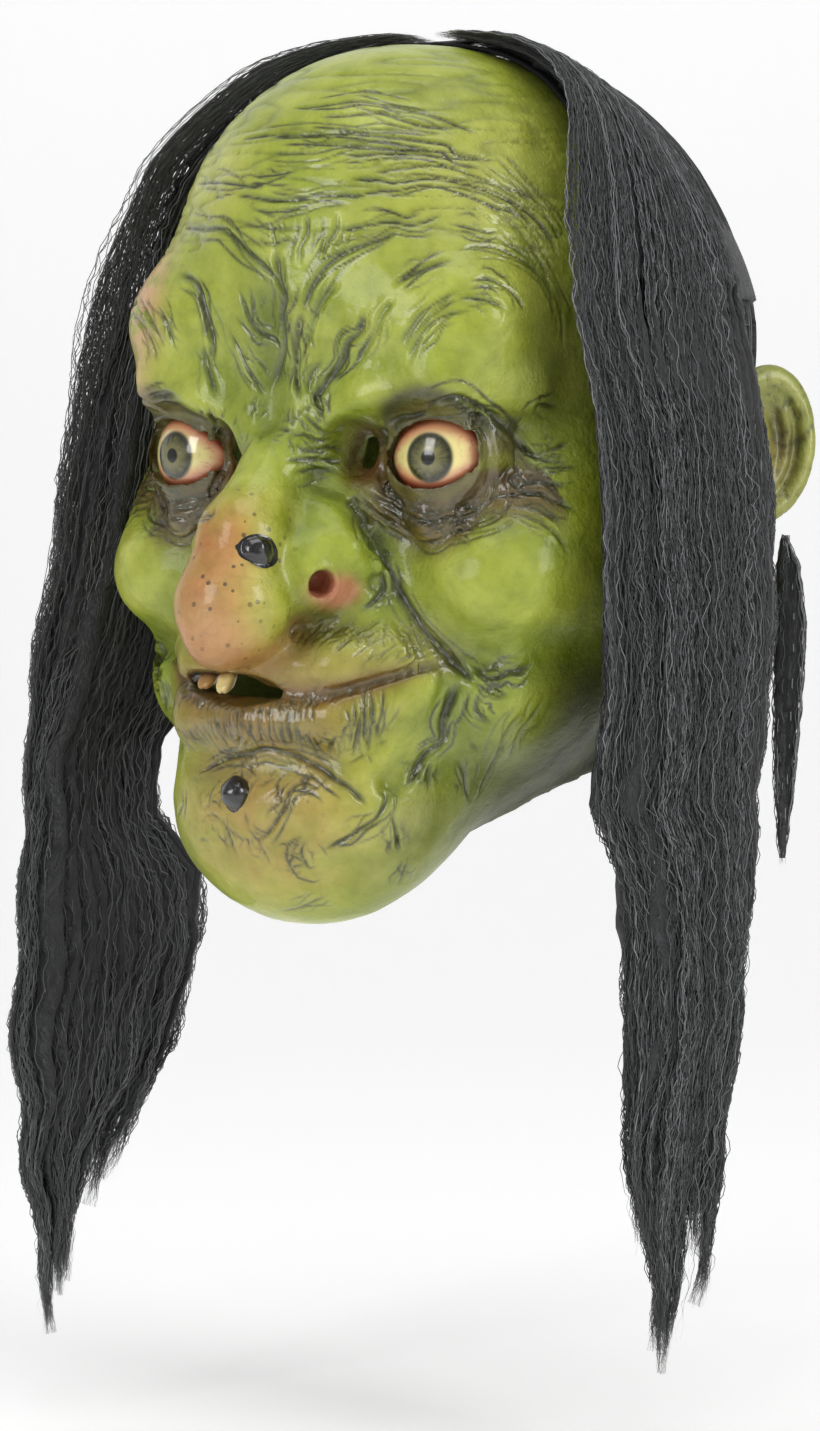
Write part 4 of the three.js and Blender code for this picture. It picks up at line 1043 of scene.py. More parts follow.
# ------------------------------------------------------------------ build: latex
V, T, LINES = build_skin()
V, INK, WET = wrinkle(V, T, LINES)
paint, gloss = paint_skin(V, T, INK, WET)
skin = mesh_object("skin", V, T)
color_attr(skin, "paint", paint)
float_attr(skin, "gloss", gloss)
sp = np.maximum(0.9 * zone(V, (4, -134, -150), (16, 26, 30), 4), 0.55 * zone(V, (0, -124, -216), (26, 20, 18), 3))
float_attr(skin, "spatter", np.clip(sp, 0, 1))
LATEX = latex_material()
use(skin, LATEX, "latex", "latex_skin", body="mask")
print("skin", len(V), len(T))


# ------------------------------------------------------------------ ears, cast with the skin
def ear_sdf(X, Y, Z):
    """|x| side; flaring cup with a rolled rim, an inner ridge and a lobe"""
    A = np.abs(X)
    cx, cy, cz = 90.5, 36.5, -111.0
    ca, sa = math.cos(0.62), math.sin(0.62)
    dx, dy, dz = A - F(cx), Y - F(cy), Z - F(cz)
    # n: out of the cup, t: across it, front to back; small lean with height
    dy2 = dy - F(0.12) * dz
    n_ = dx * F(ca) - dy2 * F(sa)
    t_ = dx * F(sa) + dy2 * F(ca)
    wz = np.where(dz > 0, F(1.0), F(1.12))
    rad = np.sqrt((t_ / F(16.5)) ** 2 + (dz * wz / F(25.0)) ** 2)
    k = (rad - 1) * F(16.0)
    bowl = np.abs(n_ + F(2.2) - F(4.6) * rad * rad) - F(1.9)
    plate = smax(bowl, k, 2.0)
    roll = np.sqrt(((rad - F(0.93)) * F(17.0)) ** 2 + (n_ - F(2.9)) ** 2) - np.where(t_ < -6, F(1.9), F(2.9))
    d = smin(plate, roll, 2.0)
    # inner ridge
    r2 = np.sqrt(((t_ + 1.0) / F(9.5)) ** 2 + ((dz - F(1.5)) / F(16.5)) ** 2)
    ridge = np.sqrt(((r2 - F(1.0)) * F(11)) ** 2 + (n_ - F(1.6)) ** 2) - F(1.7)
    ridge = np.maximum(ridge, F(-3) - t_)
    d = smin(d, ridge, 2.5)
    tragus = np.sqrt((t_ + F(12)) ** 2 + (dz + F(5)) ** 2 + (n_ - F(1)) ** 2) - F(4.2)
    d = smin(d, tragus, 3)
    lobe = np.sqrt(((t_ + F(5)) / F(8)) ** 2 + ((dz + F(20)) / F(7.5)) ** 2 + ((n_ - F(1.0)) / F(3.6)) ** 2)
    d = smin(d, (lobe - 1) * F(3.6), 3)
    root = ell(A, Y, Z, (83, 35, -112, 12, 8.5, 17))
    d = smin(d, root, 5)
    # leave the wall of the head to the skin
    return smax(d, -(head(X, Y, Z) + F(1.0)), 1.0)


def build_ear(s):
    lo, hi = (72, 10, -142), (116, 62, -80)
    D = sampled(ear_sdf, lo, hi, 1.15)
    V, Q = nets(D, lo, 1.15)
    T = np.concatenate([Q[:, [0, 1, 2]], Q[:, [0, 2, 3]]])
    V = project(ear_sdf, V, 2, 0.6)
    N = normals(V, T)
    r = 1 - np.abs(vnoise(V, 4.0, 21))
    V = V - N * (0.25 * r ** 5)[:, None]
    n2 = fbm(V, 8, 3, 22)
    q = V + N * 3.0
    cav = np.clip(ear_sdf(*[q[:, i].astype(F) for i in range(3)]) / 3.0, -0.5, 1)
    q = V + N * 8.0
    cav2 = np.clip(ear_sdf(*[q[:, i].astype(F) for i in range(3)]) / 8.0, -0.5, 1)
    # painted shade in the ear's hollows and painted highlight on its rim and rises, from the cavity measures cav and
    # cav2
    col = lerp(np.tile(srgb("#4a3a1e"), (len(V), 1)), srgb("#8e9437"), bump01(0.5 * cav + 0.5 * cav2 + 0.12 * n2, 0.25, 0.8))
    col = lerp(col, srgb("#b2b65a"), bump01(cav2 + 0.3 * n2, 0.8, 1.15))
    # tan brown bowl
    dx, dy = V[:, 0] - 98, V[:, 1] - 33
    inner = np.exp(-((dx / 7) ** 2 + (dy / 11) ** 2 + ((V[:, 2] + 113) / 14) ** 2)) * (N[:, 0] > 0)
    col = lerp(col, srgb("#8a6a3c"), 0.7 * inner)
    col = lerp(col, srgb("#14140a"), 0.75 * r ** 12)
    if s < 0:
        V = V * np.array([-1, 1, 1])
        T = T[:, ::-1]
    ob = mesh_object("ear_left" if s > 0 else "ear_right", V, T)
    color_attr(ob, "paint", col)
    float_attr(ob, "gloss", np.full(len(V), 0.5))
    float_attr(ob, "spatter", np.zeros(len(V)))
    use(ob, LATEX, "latex", body="mask")
    return ob


for s in (1, -1):
    build_ear(s)


# ------------------------------------------------------------------ eyes
def gaze_frame(s):
    a = s * GAZE
    u = Vector((math.cos(a), math.sin(a), 0)) * s      # outward
    w = Vector((math.sin(a), -math.cos(a), 0))
    return np.array((EYE_C[0] * s, EYE_C[1], EYE_C[2])), np.array(u), np.array((0, 0, 1.0)), np.array(w)


def revolve(rows, seg, closed=True):
    """rows of (radius, forward) round the gaze; a radius of 0 makes a pole"""
    V, ring = [], []
    for r, w in rows:
        if r < 1e-6:
            ring.append([len(V)])
            V.append((0, 0, w))
        else:
            ring.append(list(range(len(V), len(V) + seg)))
            for i in range(seg):
                a = 2 * math.pi * i / seg
                V.append((r * math.cos(a), r * math.sin(a), w))
    T = []
    n = len(ring)
    for k in range(n if closed else n - 1):
        a, b = ring[k], ring[(k + 1) % n]
        if len(a) == 1 and len(b) == 1:
            continue
        for i in range(seg):
            j = (i + 1) % seg
            if len(a) == 1:
                T.append((a[0], b[i], b[j]))
            elif len(b) == 1:
                T.append((a[i], b[0], a[j]))
            else:
                T.append((a[i], b[i], b[j]))
                T.append((a[i], b[j], a[j]))
    return np.array(V, float), np.array(T)


def place(V, s):
    c, u, v, w = gaze_frame(s)
    W = c + V[:, :1] * u + V[:, 1:2] * v + V[:, 2:] * w
    return W


def turned(T, V):
    """faces outward: flips the winding when the signed volume is negative"""
    vol = np.einsum("ij,ij->i", V[T[:, 0]], np.cross(V[T[:, 1]], V[T[:, 2]])).sum()
    return T if vol > 0 else T[:, ::-1]


m, t, b = material("eye_paint")
t.links.new(attr(t, "paint", "Color"), b.inputs["Base Color"])
b.inputs["Roughness"].default_value = 0.22
b.inputs["Coat Weight"].default_value = 1.0
b.inputs["Coat Roughness"].default_value = 0.03
b.inputs["Subsurface Weight"].default_value = 0.0
EYE_MAT = m
m, t, b = material("cornea_clear")
b.inputs["Base Color"].default_value = (0.02, 0.02, 0.02, 1)
b.inputs["Roughness"].default_value = 0.02
b.inputs["IOR"].default_value = 1.4
b.inputs["Alpha"].default_value = 0.06
b.inputs["Coat Weight"].default_value = 1.0
b.inputs["Coat Roughness"].default_value = 0.02
CORNEA = m
CLOTH = plain("woven_backing", srgb("#bdb59c"), 0.9, noise_scale=900, amount=0.2, bump_mm=0.25, bump_scale=1400)

for s in (1, -1):
    side = "left" if s > 0 else "right"
    R = EYE_R
    rows = [(R * math.sin(math.radians(a)), R * math.cos(math.radians(a))) for a in np.concatenate([np.linspace(0, 28, 57), np.linspace(29, 60, 32)])]
    rows += [((R - 1.7) * math.sin(math.radians(a)), (R - 1.7) * math.cos(math.radians(a))) for a in np.linspace(60, 0, 13)]
    rows[0] = (0, R)
    rows[-1] = (0, R - 1.7)
    L, Tt = revolve(rows, 128, closed=False)
    W = place(L, s)
    e = mesh_object("eye_%s" % side, W, turned(Tt, W - W.mean(0)))
    r = np.hypot(L[:, 0], L[:, 1])
    ang = np.arctan2(L[:, 1], L[:, 0])
    scl = np.tile(srgb("#f6eaa2"), (len(L), 1))
    nn = fbm(W, 5, 3, 40)
    scl = lerp(scl, srgb("#eedb8c"), 0.35 + 0.35 * nn)
    # veins and rosy rim towards the lids
    ro = almond(L[:, 0].astype(F), L[:, 1].astype(F))
    scl = lerp(scl, srgb("#d9846a"), bump01(ro, -5.2, -0.8) * 0.85)
    scl = lerp(scl, srgb("#7d2416"), bump01(ro, -2.0, 0.6) * 0.95)
    vein = (1 - np.abs(vnoise(np.stack([ang * 9, r * 0.35, ang * 0], 1), 1.0, 41))) ** 14 * bump01(r, 8.5, 12)
    scl = lerp(scl, srgb("#b5482f"), 0.55 * vein)
    # olive grey iris: pale fibres inside a dark edge
    fib = 0.5 + 0.5 * vnoise(np.stack([ang * 14, r * 0.5, ang * 0 + 7], 1), 1.0, 42)
    fib2 = 0.5 + 0.5 * vnoise(np.stack([ang * 30, r * 0.9, ang * 0 + 3], 1), 1.0, 43)
    iris = lerp(np.tile(srgb("#4c4b28"), (len(L), 1)), srgb("#807d4c"), bump01(fib * 0.6 + fib2 * 0.4, 0.25, 0.8))
    iris = lerp(iris, srgb("#98935e"), bump01(-r, -5.2, -2.8) * 0.6)
    iris = lerp(iris, srgb("#26260f"), bump01(r, 5.0, 7.0) * 0.9)
    col = lerp(scl, iris, 1 - bump01(r, 7.2, 7.75))
    col = lerp(col, srgb("#4a4b36"), np.exp(-((r - 7.5) / 0.55) ** 2) * 0.8)
    col = lerp(col, srgb("#15160f"), 1 - bump01(r, 2.1, 2.6))
    color_attr(e, "paint", np.clip(col, 0, 1))
    use(e, EYE_MAT, "eye_paint", "eye_shell_%s" % side, body="mask")
    # clear cap over the iris
    n = 24
    top = []
    for i in range(n + 1):
        q = i / n
        rr = 7.7 * math.sin(q * math.pi / 2)
        top.append((rr, math.sqrt(R * R - rr * rr) + 0.3 + 1.35 * (1 - (rr / 7.75) ** 2)))
    bot = [(rr, math.sqrt(R * R - rr * rr) + 0.22) for rr in np.linspace(7.72, 0, n)]
    bot[-1] = (0, R + 0.22)
    L, Tt = revolve(top + bot, 72, closed=False)
    W = place(L, s)
    c = mesh_object("cornea_cap_%s" % side, W, turned(Tt, W - W.mean(0)))
    use(c, CORNEA, "cornea", "cornea_%s" % side, body="mask")
    # woven washer with a turned hem, glued behind the rim
    rows = [(11.6, 6.1), (11.9, 5.95), (16.2, 5.95), (16.5, 6.2), (16.85, 7.6), (16.6, 7.85), (13.3, 7.85), (11.7, 7.3), (11.5, 6.8)]
    L, Tt = revolve(rows, 96)
    W = place(L, s)
    w_ = mesh_object("eye_washer_%s" % side, W, turned(Tt, W - W.mean(0)))
    use(w_, CLOTH, "cloth", "eye_retainer_%s" % side, body="mask")


# ------------------------------------------------------------------ gum and teeth
def loft(rings, cap_ends=True):
    """closed body through rings of equal length"""
    n = len(rings[0])
    V = np.concatenate([np.asarray(r, float) for r in rings])
    T = []
    for k in range(len(rings) - 1):
        for i in range(n):
            j = (i + 1) % n
            a, b_, c, d = k * n + i, k * n + j, (k + 1) * n + j, (k + 1) * n + i
            T += [(a, b_, c), (a, c, d)]
    if cap_ends:
        V = np.concatenate([V, [np.mean(rings[0], 0)], [np.mean(rings[-1], 0)]])
        m0, m1 = len(V) - 2, len(V) - 1
        base = (len(rings) - 1) * n
        for i in range(n):
            j = (i + 1) % n
            T += [(m0, j, i), (m1, base + i, base + j)]
    T = np.array(T)
    return V, turned(T, V - V.mean(0))


gum_path = curved([(-25, -105, -179), (-13, -111, -178), (0, -113, -177.5), (13, -111, -178), (22, -106, -179)], 10)
rings = []
for i, c in enumerate(gum_path):
    tan = gum_path[min(i + 1, len(gum_path) - 1)] - gum_path[max(i - 1, 0)]
    tan /= np.linalg.norm(tan)
    nrm = np.cross(tan, (0, 0, 1.0))
    e = i / (len(gum_path) - 1)
    fat = min(1, 4 * min(e, 1 - e) + 0.45)
    knob = 1 + 0.06 * math.sin(c[0] * 0.95)
    rings.append([c + nrm * (3.4 * fat * knob * math.cos(a)) + np.array((0, 0, 1.0)) * (3.9 * fat * math.sin(a)) for a in np.linspace(0, 2 * math.pi, 20, endpoint=False)])
GV, GT = loft(rings)
GV[:, 2] = np.maximum(GV[:, 2], -182.1)
gum = mesh_object("gum_rail", GV, GT)
use(gum, plain("gum_paint", srgb("#5a2119"), 0.35, 0.7, 0.08, noise_scale=420, amount=0.35, bump_mm=0.4, bump_scale=500), "gum", "upper_gum", body="mask")

m, t, b = material("tooth_enamel")
t.links.new(attr(t, "paint", "Color"), b.inputs["Base Color"])
b.inputs["Roughness"].default_value = 0.3
b.inputs["Coat Weight"].default_value = 0.6
b.inputs["Coat Roughness"].default_value = 0.08
TOOTH = m
for side, x, w_, length, lean in (("left", -13.2, 2.9, 6.8, 0.3), ("right", -20.0, 2.9, 5.6, -0.4)):
    rings, ks = [], []
    for k in np.linspace(-0.14, 1, 22):
        f = np.interp(k, [-0.14, 0, 0.3, 0.7, 0.92, 1], [0.72, 0.86, 1, 0.94, 0.66, 0.30])
        ring = []
        for a in np.linspace(0, 2 * math.pi, 28, endpoint=False):
            ca, sa = math.cos(a), math.sin(a)
            q = (abs(ca) ** 3 + abs(sa) ** 3) ** (-1 / 3)
            ring.append((x + w_ * f * q * ca + lean * k, -115.4 - 4.0 * k + 2.4 * f * q * sa, -180.4 - length * k + 0.3 * math.sin(3 * a + k * 5) * k))
        rings.append(ring)
        ks += [k] * 28
    TV, TT = loft(rings)
    ks += [-0.14, 1]
    ks = np.array(ks)
    tooth = mesh_object("peg_tooth_%s" % side, TV, TT)
    n2 = fbm(TV, 2.4, 3, 50)
    if side == "left":
        col = lerp(np.tile(srgb("#7a5320"), (len(TV), 1)), srgb("#e6cf8a"), bump01(ks + 0.2 * n2, 0.0, 0.45))
    else:
        col = lerp(np.tile(srgb("#4a2b12"), (len(TV), 1)), srgb("#a87f43"), bump01(ks + 0.2 * n2, 0.1, 0.7))
    color_attr(tooth, "paint", col)
    use(tooth, TOOTH, "tooth", "tooth_%s" % side, body="mask")

# ------------------------------------------------------------------ warts
WART = plain("wart_gloss", srgb("#0e0f11"), 0.22, 1.0, 0.06, noise_scale=300, amount=0.5, bump_mm=0.5, bump_scale=420)


def lump(name, c, r, seed, squashz=1.0, drip=0.0):
    rows = [(math.sin(a), math.cos(a)) for a in np.linspace(0, math.pi, 33)]
    rows[0], rows[-1] = (0, 1), (0, -1)
    L, Tt = revolve(rows, 48, closed=False)
    rad = 1 + 0.10 * vnoise(L, 0.9, seed) + 0.05 * vnoise(L, 0.4, seed + 1)
    W = L * rad[:, None] * r
    W[:, 2] *= squashz
    if drip:
        k = np.exp(-((W[:, 0] - 0.3 * r) / (0.35 * r)) ** 2) * bump01(-W[:, 2], 0.2 * r, r)
        W[:, 2] -= drip * k
    W = W + np.array(c)
    d = head(*[W[:, i].astype(F) for i in range(3)])
    g = gradient(head, W)
    g /= np.maximum(np.linalg.norm(g, axis=1, keepdims=True), 1e-6)
    # flat foot seated just off the skin
    W += g * np.maximum(0.15 - d, 0)[:, None]
    ob = mesh_object(name, W, turned(Tt, W - W.mean(0)))
    return ob


use(lump("wart_on_nose", (10.4, -133, -142), 5.7, 60, 0.97, 1.2), WART, "wart", "wart_nose", body="mask")
use(lump("wart_on_chin", (-3, -125.5, -218), 5.2, 64), WART, "wart", "wart_chin", body="mask")


# ------------------------------------------------------------------ foam pads and the slit patch
def slab(name, fn, lo, hi, h, mat, slot, *nodes_, pad=None, rough=0.0):
    D = sampled(fn, lo, hi, h)
    V, Q = nets(D, lo, h)
    T = np.concatenate([Q[:, [0, 1, 2]], Q[:, [0, 2, 3]]])
    V = project(fn, V, 2, 0.6)
    if rough:
        V += normals(V, T) * (rough * vnoise(V, 2.0, 70))[:, None]
    return use(mesh_object(name, V, T), mat, slot, *nodes_, body="mask", pad=pad)


FOAM = plain("open_cell_foam", srgb("#3b3b3d"), 0.95, noise_scale=700, amount=0.45, bump_mm=0.8, bump_scale=900)


def crown_fn(X, Y, Z):
    d = head(X, Y, Z) + F(WALL + 0.45)
    ball_ = np.sqrt(X * X + Y * Y + (Z + 92) ** 2) - F(92)
    cyl = np.sqrt(X * X + Y * Y) - F(39.6)
    return smax(smax(d, -ball_, 1.2), cyl, 2.0)


def fore_fn(X, Y, Z):
    h_ = head(X, Y, Z)
    d = smax(h_ + F(WALL + 0.45), -(h_ + F(9.1)), 1.2)
    e = np.maximum(np.abs(X) - F(41.6), np.maximum(np.abs(Z + 50) - F(15.6), Y + 52))
    return smax(d, e, 1.6)


def patch_fn(X, Y, Z):
    h_ = head(X, Y, Z)
    d = np.maximum(h_ + F(WALL + 0.3), -(h_ + F(WALL + 1.6)))
    e = np.maximum(np.abs(X) - F(12.8), np.maximum(np.abs(Z + 137) - F(14.8), 40 - Y))
    return smax(d, e, 0.5)


slab("crown_foam", crown_fn, (-44, -44, -16), (44, 44, 24), 1.6, FOAM, "foam", "crown_pad", pad=0.85, rough=0.15)
slab("forehead_foam", fore_fn, (-46, -116, -70), (46, -50, -30), 1.4, FOAM, "foam", "forehead_pad", pad=0.85, rough=0.15)
slab("slit_reinforcement", patch_fn, (-16, 60, -156), (16, 90, -118), 0.65, CLOTH, "cloth", "slit_patch")


# ------------------------------------------------------------------ hair
HAIR_MASS = mass_material()
HAIR_DARK = strand_material("hair_strand", srgb("#161617"), srgb("#8f9394"))
RNG = np.random.default_rng(11)
FACE_LIMIT = 190000


def tubes(name, P, rad, tone, ref, limit=FACE_LIMIT):
    """three-sided closed tubes along paths P (strands, points, 3)"""
    S, N, _ = P.shape
    t = np.gradient(P, axis=1)
    t /= np.maximum(np.linalg.norm(t, axis=2, keepdims=True), 1e-9)
    a = np.cross(t, ref)
    a /= np.maximum(np.linalg.norm(a, axis=2, keepdims=True), 1e-6)
    b_ = np.cross(t, a)
    s = np.linspace(0, 1, N)
    prof = np.clip(np.minimum(s / 0.02, (1 - s) / 0.05), 0.15, 1)
    rr = rad[:, None] * prof[None, :]
    V = np.stack([P + rr[..., None] * (math.cos(q) * a + math.sin(q) * b_) for q in (0.3, 0.3 + 2.0944, 0.3 + 4.18879)], 2)   # S N 3 3
    k = np.arange(N - 1)
    T = []
    for i in range(3):
        j = (i + 1) % 3
        T.append(np.stack([3 * k + i, 3 * k + j, 3 * k + 3 + j], 1))
        T.append(np.stack([3 * k + i, 3 * k + 3 + j, 3 * k + 3 + i], 1))
    T.append(np.array([[0, 2, 1], [3 * N - 3, 3 * N - 2, 3 * N - 1]]))
    T = np.concatenate(T)
    per = max(1, limit // len(T))
    out = []
    for c, s0 in enumerate(range(0, S, per)):
        s1 = min(S, s0 + per)
        n = s1 - s0
        VV = V[s0:s1].reshape(-1, 3)
        TT = (T[None] + (np.arange(n) * 3 * N)[:, None, None]).reshape(-1, 3)
        TT = turned(TT, VV - VV.mean(0))
        ob = mesh_object("%s_%d" % (name, c + 1), VV, TT)
        tn = np.repeat(tone[s0:s1], 3 * N)
        float_attr(ob, "tone", tn)
        ob.data.materials.append(HAIR_DARK)
        out.append(ob)
    return out


def to_level(P, level, it=3):
    """moves points to a set distance outside the skin"""
    sh = P.shape
    Q = P.reshape(-1, 3)
    lv = np.broadcast_to(level, sh[:-1]).reshape(-1)
    for _ in range(it):
        d = forms(FORMS, *[Q[:, i].astype(F) for i in range(3)])
        g = gradient(lambda X, Y, Z: forms(FORMS, X, Y, Z), Q, 0.5)
        st = ((d - lv) / np.maximum((g * g).sum(1), 0.1))[:, None] * g
        L = np.linalg.norm(st, axis=1, keepdims=True)
        Q = Q - st * np.minimum(1, 8 / np.maximum(L, 1e-9))
    return Q.reshape(sh)


LOCKS = {
    # z, centre x, centre y, half width front to back, half thickness, twist
    "front_left": (1, [[-62, 96.5, -28, 47, 7.8, 0], [-93, 100, -30, 49.5, 8.6, 0], [-128, 104, -31.6, 50.8, 9.3, 0], [-163, 104.5, -30.5, 50, 10, 0], [-187, 102.5, -28.5, 48, 11, 0],
        [-222, 98.5, -29, 46.5, 11.5, 0], [-234, 98.5, -23.5, 42, 12, 0], [-246, 97.5, -21, 36.5, 12, 0], [-269, 96.5, -19, 31.5, 12.5, 0], [-293, 96, -20.5, 30.5, 12.5, 0], [-316, 95.5, -23, 29.5, 12, 0],
        [-340, 95, -25, 29.5, 10.5, 0], [-363, 94.5, -23.5, 24.5, 9, 0], [-378, 94, -22.5, 22, 8, 0], [-390, 93.5, -24.5, 17, 7, 0], [-412, 92.5, -28, 10, 5, 0]]),
    "front_right": (-1, [[-62, 97, -30.5, 48.5, 7.8, 0], [-95, 100, -34.5, 52, 8.6, 0], [-125, 101.5, -37.5, 53, 9.3, 0], [-160, 104, -43, 53, 10, 0], [-190, 107, -54, 45, 11, 0],
        [-211, 108, -66, 32, 11.5, 0], [-236, 109, -66, 32, 12, 0], [-257, 110, -54, 46, 12.5, 0], [-281, 111, -52.5, 48.4, 12.5, 0], [-304, 111, -60, 43.7, 12.5, 0], [-316, 111, -60.5, 42, 12, 0],
        [-328, 111, -64, 36, 11.5, 0], [-340, 112, -69.5, 30.5, 10.5, 0], [-351, 112, -74, 25.5, 9.5, 0], [-363, 112, -76.5, 18, 8, 0], [-378, 111, -80, 12, 6, 0], [-411, 109, -84, 7, 4, 0]]),
}


def lock_at(st, z):
    st = np.array(st, float)
    zz = -z
    return [np.interp(zz, -st[:, 0], st[:, k]) for k in range(1, 6)]


def lock_point(st, s, z, l, rho):
    """l: -1 front edge to 1 rear edge, rho: -1 inside to 1 outside"""
    cx, cy, a, b_, tw = lock_at(st, z)
    k = np.radians(tw)
    la = a * l
    # the front edge stands forward of the temple outside and hugs the face inside
    f = np.clip(-l, 0, 1.2) ** 1.5
    z = np.asarray(z, float)
    hug = f * (1 - np.clip(rho, -1, 1)) * 0.5 * np.interp(-z, [60, 120, 175, 215], [1, 1, 0.7, 0])
    cx = cx - 13 * hug
    cy = cy + 24 * hug
    ob = b_ * rho * np.sqrt(np.maximum(0.04, 1 - np.minimum(1, l * l)))
    x = cx + ob * np.cos(k) - la * np.sin(k) * 1.0
    y = cy + ob * -np.sin(k) * -1.0 * 0 + la * np.cos(k) + ob * np.sin(k)
    return np.stack([x * s, y, np.broadcast_to(z, x.shape)], -1)


def crimp(P, side, s_len, amp, wave, phase, grow=None):
    """sideways waves along strands; side: unit vectors across"""
    w = np.sin(2 * math.pi * s_len / wave[:, None] + phase[:, None] + 0.8 * np.sin(2 * math.pi * s_len / (wave[:, None] * 3.7) + phase[:, None] * 2))
    a = amp[:, None] * (1 if grow is None else grow)
    return P + side * (w * a)[..., None]


Y_FRONT = ([0, 25, 45, 60, 75, 90], [-21.5, -22.5, -29, -39, -48, -53])
FORWARD = ([0, 20, 40, 60, 90], [2, 9, 17, 25, 25])     # how far the outermost fibres stand in front of the hairline
OUTER_F = ([0, 15, 35, 60, 90], [3.2, 6.5, 14.5, 19.5, 20.5])   # how far they stand off the skin, at the front
OUTER_R = ([0, 15, 35, 60, 90], [2.4, 3.2, 3.6, 5, 11])     # and at the rear


def scalp_path(s, q, theta, level, ahead=0.0):
    """side hair: q 0 at the hairline, 1 at the rear; theta 0 at the parting, 90 level with the ear top"""
    yf = np.interp(theta, *Y_FRONT)
    y = yf * (1 - q) + (20 - 4 * theta / 90) * q - ahead
    th = np.radians(theta)
    P = np.stack([np.sin(th) * 80 * s + 0 * y, y, -62 + np.cos(th) * 74 + 0 * y], -1)
    lv = np.broadcast_to(level, P.shape[:-1])
    sh = P.shape
    Q = P.reshape(-1, 3).copy()
    C = np.stack([0 * y, y, -62 + 0 * y], -1).reshape(-1, 3)
    D = Q - C
    D /= np.maximum(np.linalg.norm(D, axis=1, keepdims=True), 1e-9)
    r = np.linalg.norm(Q - C, axis=1)
    L = lv.reshape(-1)
    for _ in range(6):
        pt = C + D * r[:, None]
        d = forms(FORMS, *[pt[:, i].astype(F) for i in range(3)])
        r = r - np.clip(d - L, -12, 12) * 0.9
    return (C + D * r[:, None]).reshape(sh)


def clump_tips(s, rng):
    out = []
    n = 13
    for i in range(n):
        l0 = -0.92 + 1.84 * (i + 0.5) / n + rng.uniform(-0.05, 0.05)
        base = np.interp(l0, [-1, -0.6, -0.25, 0.1, 0.5, 0.8, 1], [-352, -378, -398, -376, -352, -382, -330] if s > 0 else [-394, -405, -388, -378, -368, -352, -326])
        out.append((l0, base + rng.uniform(-16, 14), rng.uniform(-0.5, 0.6)))
    return out


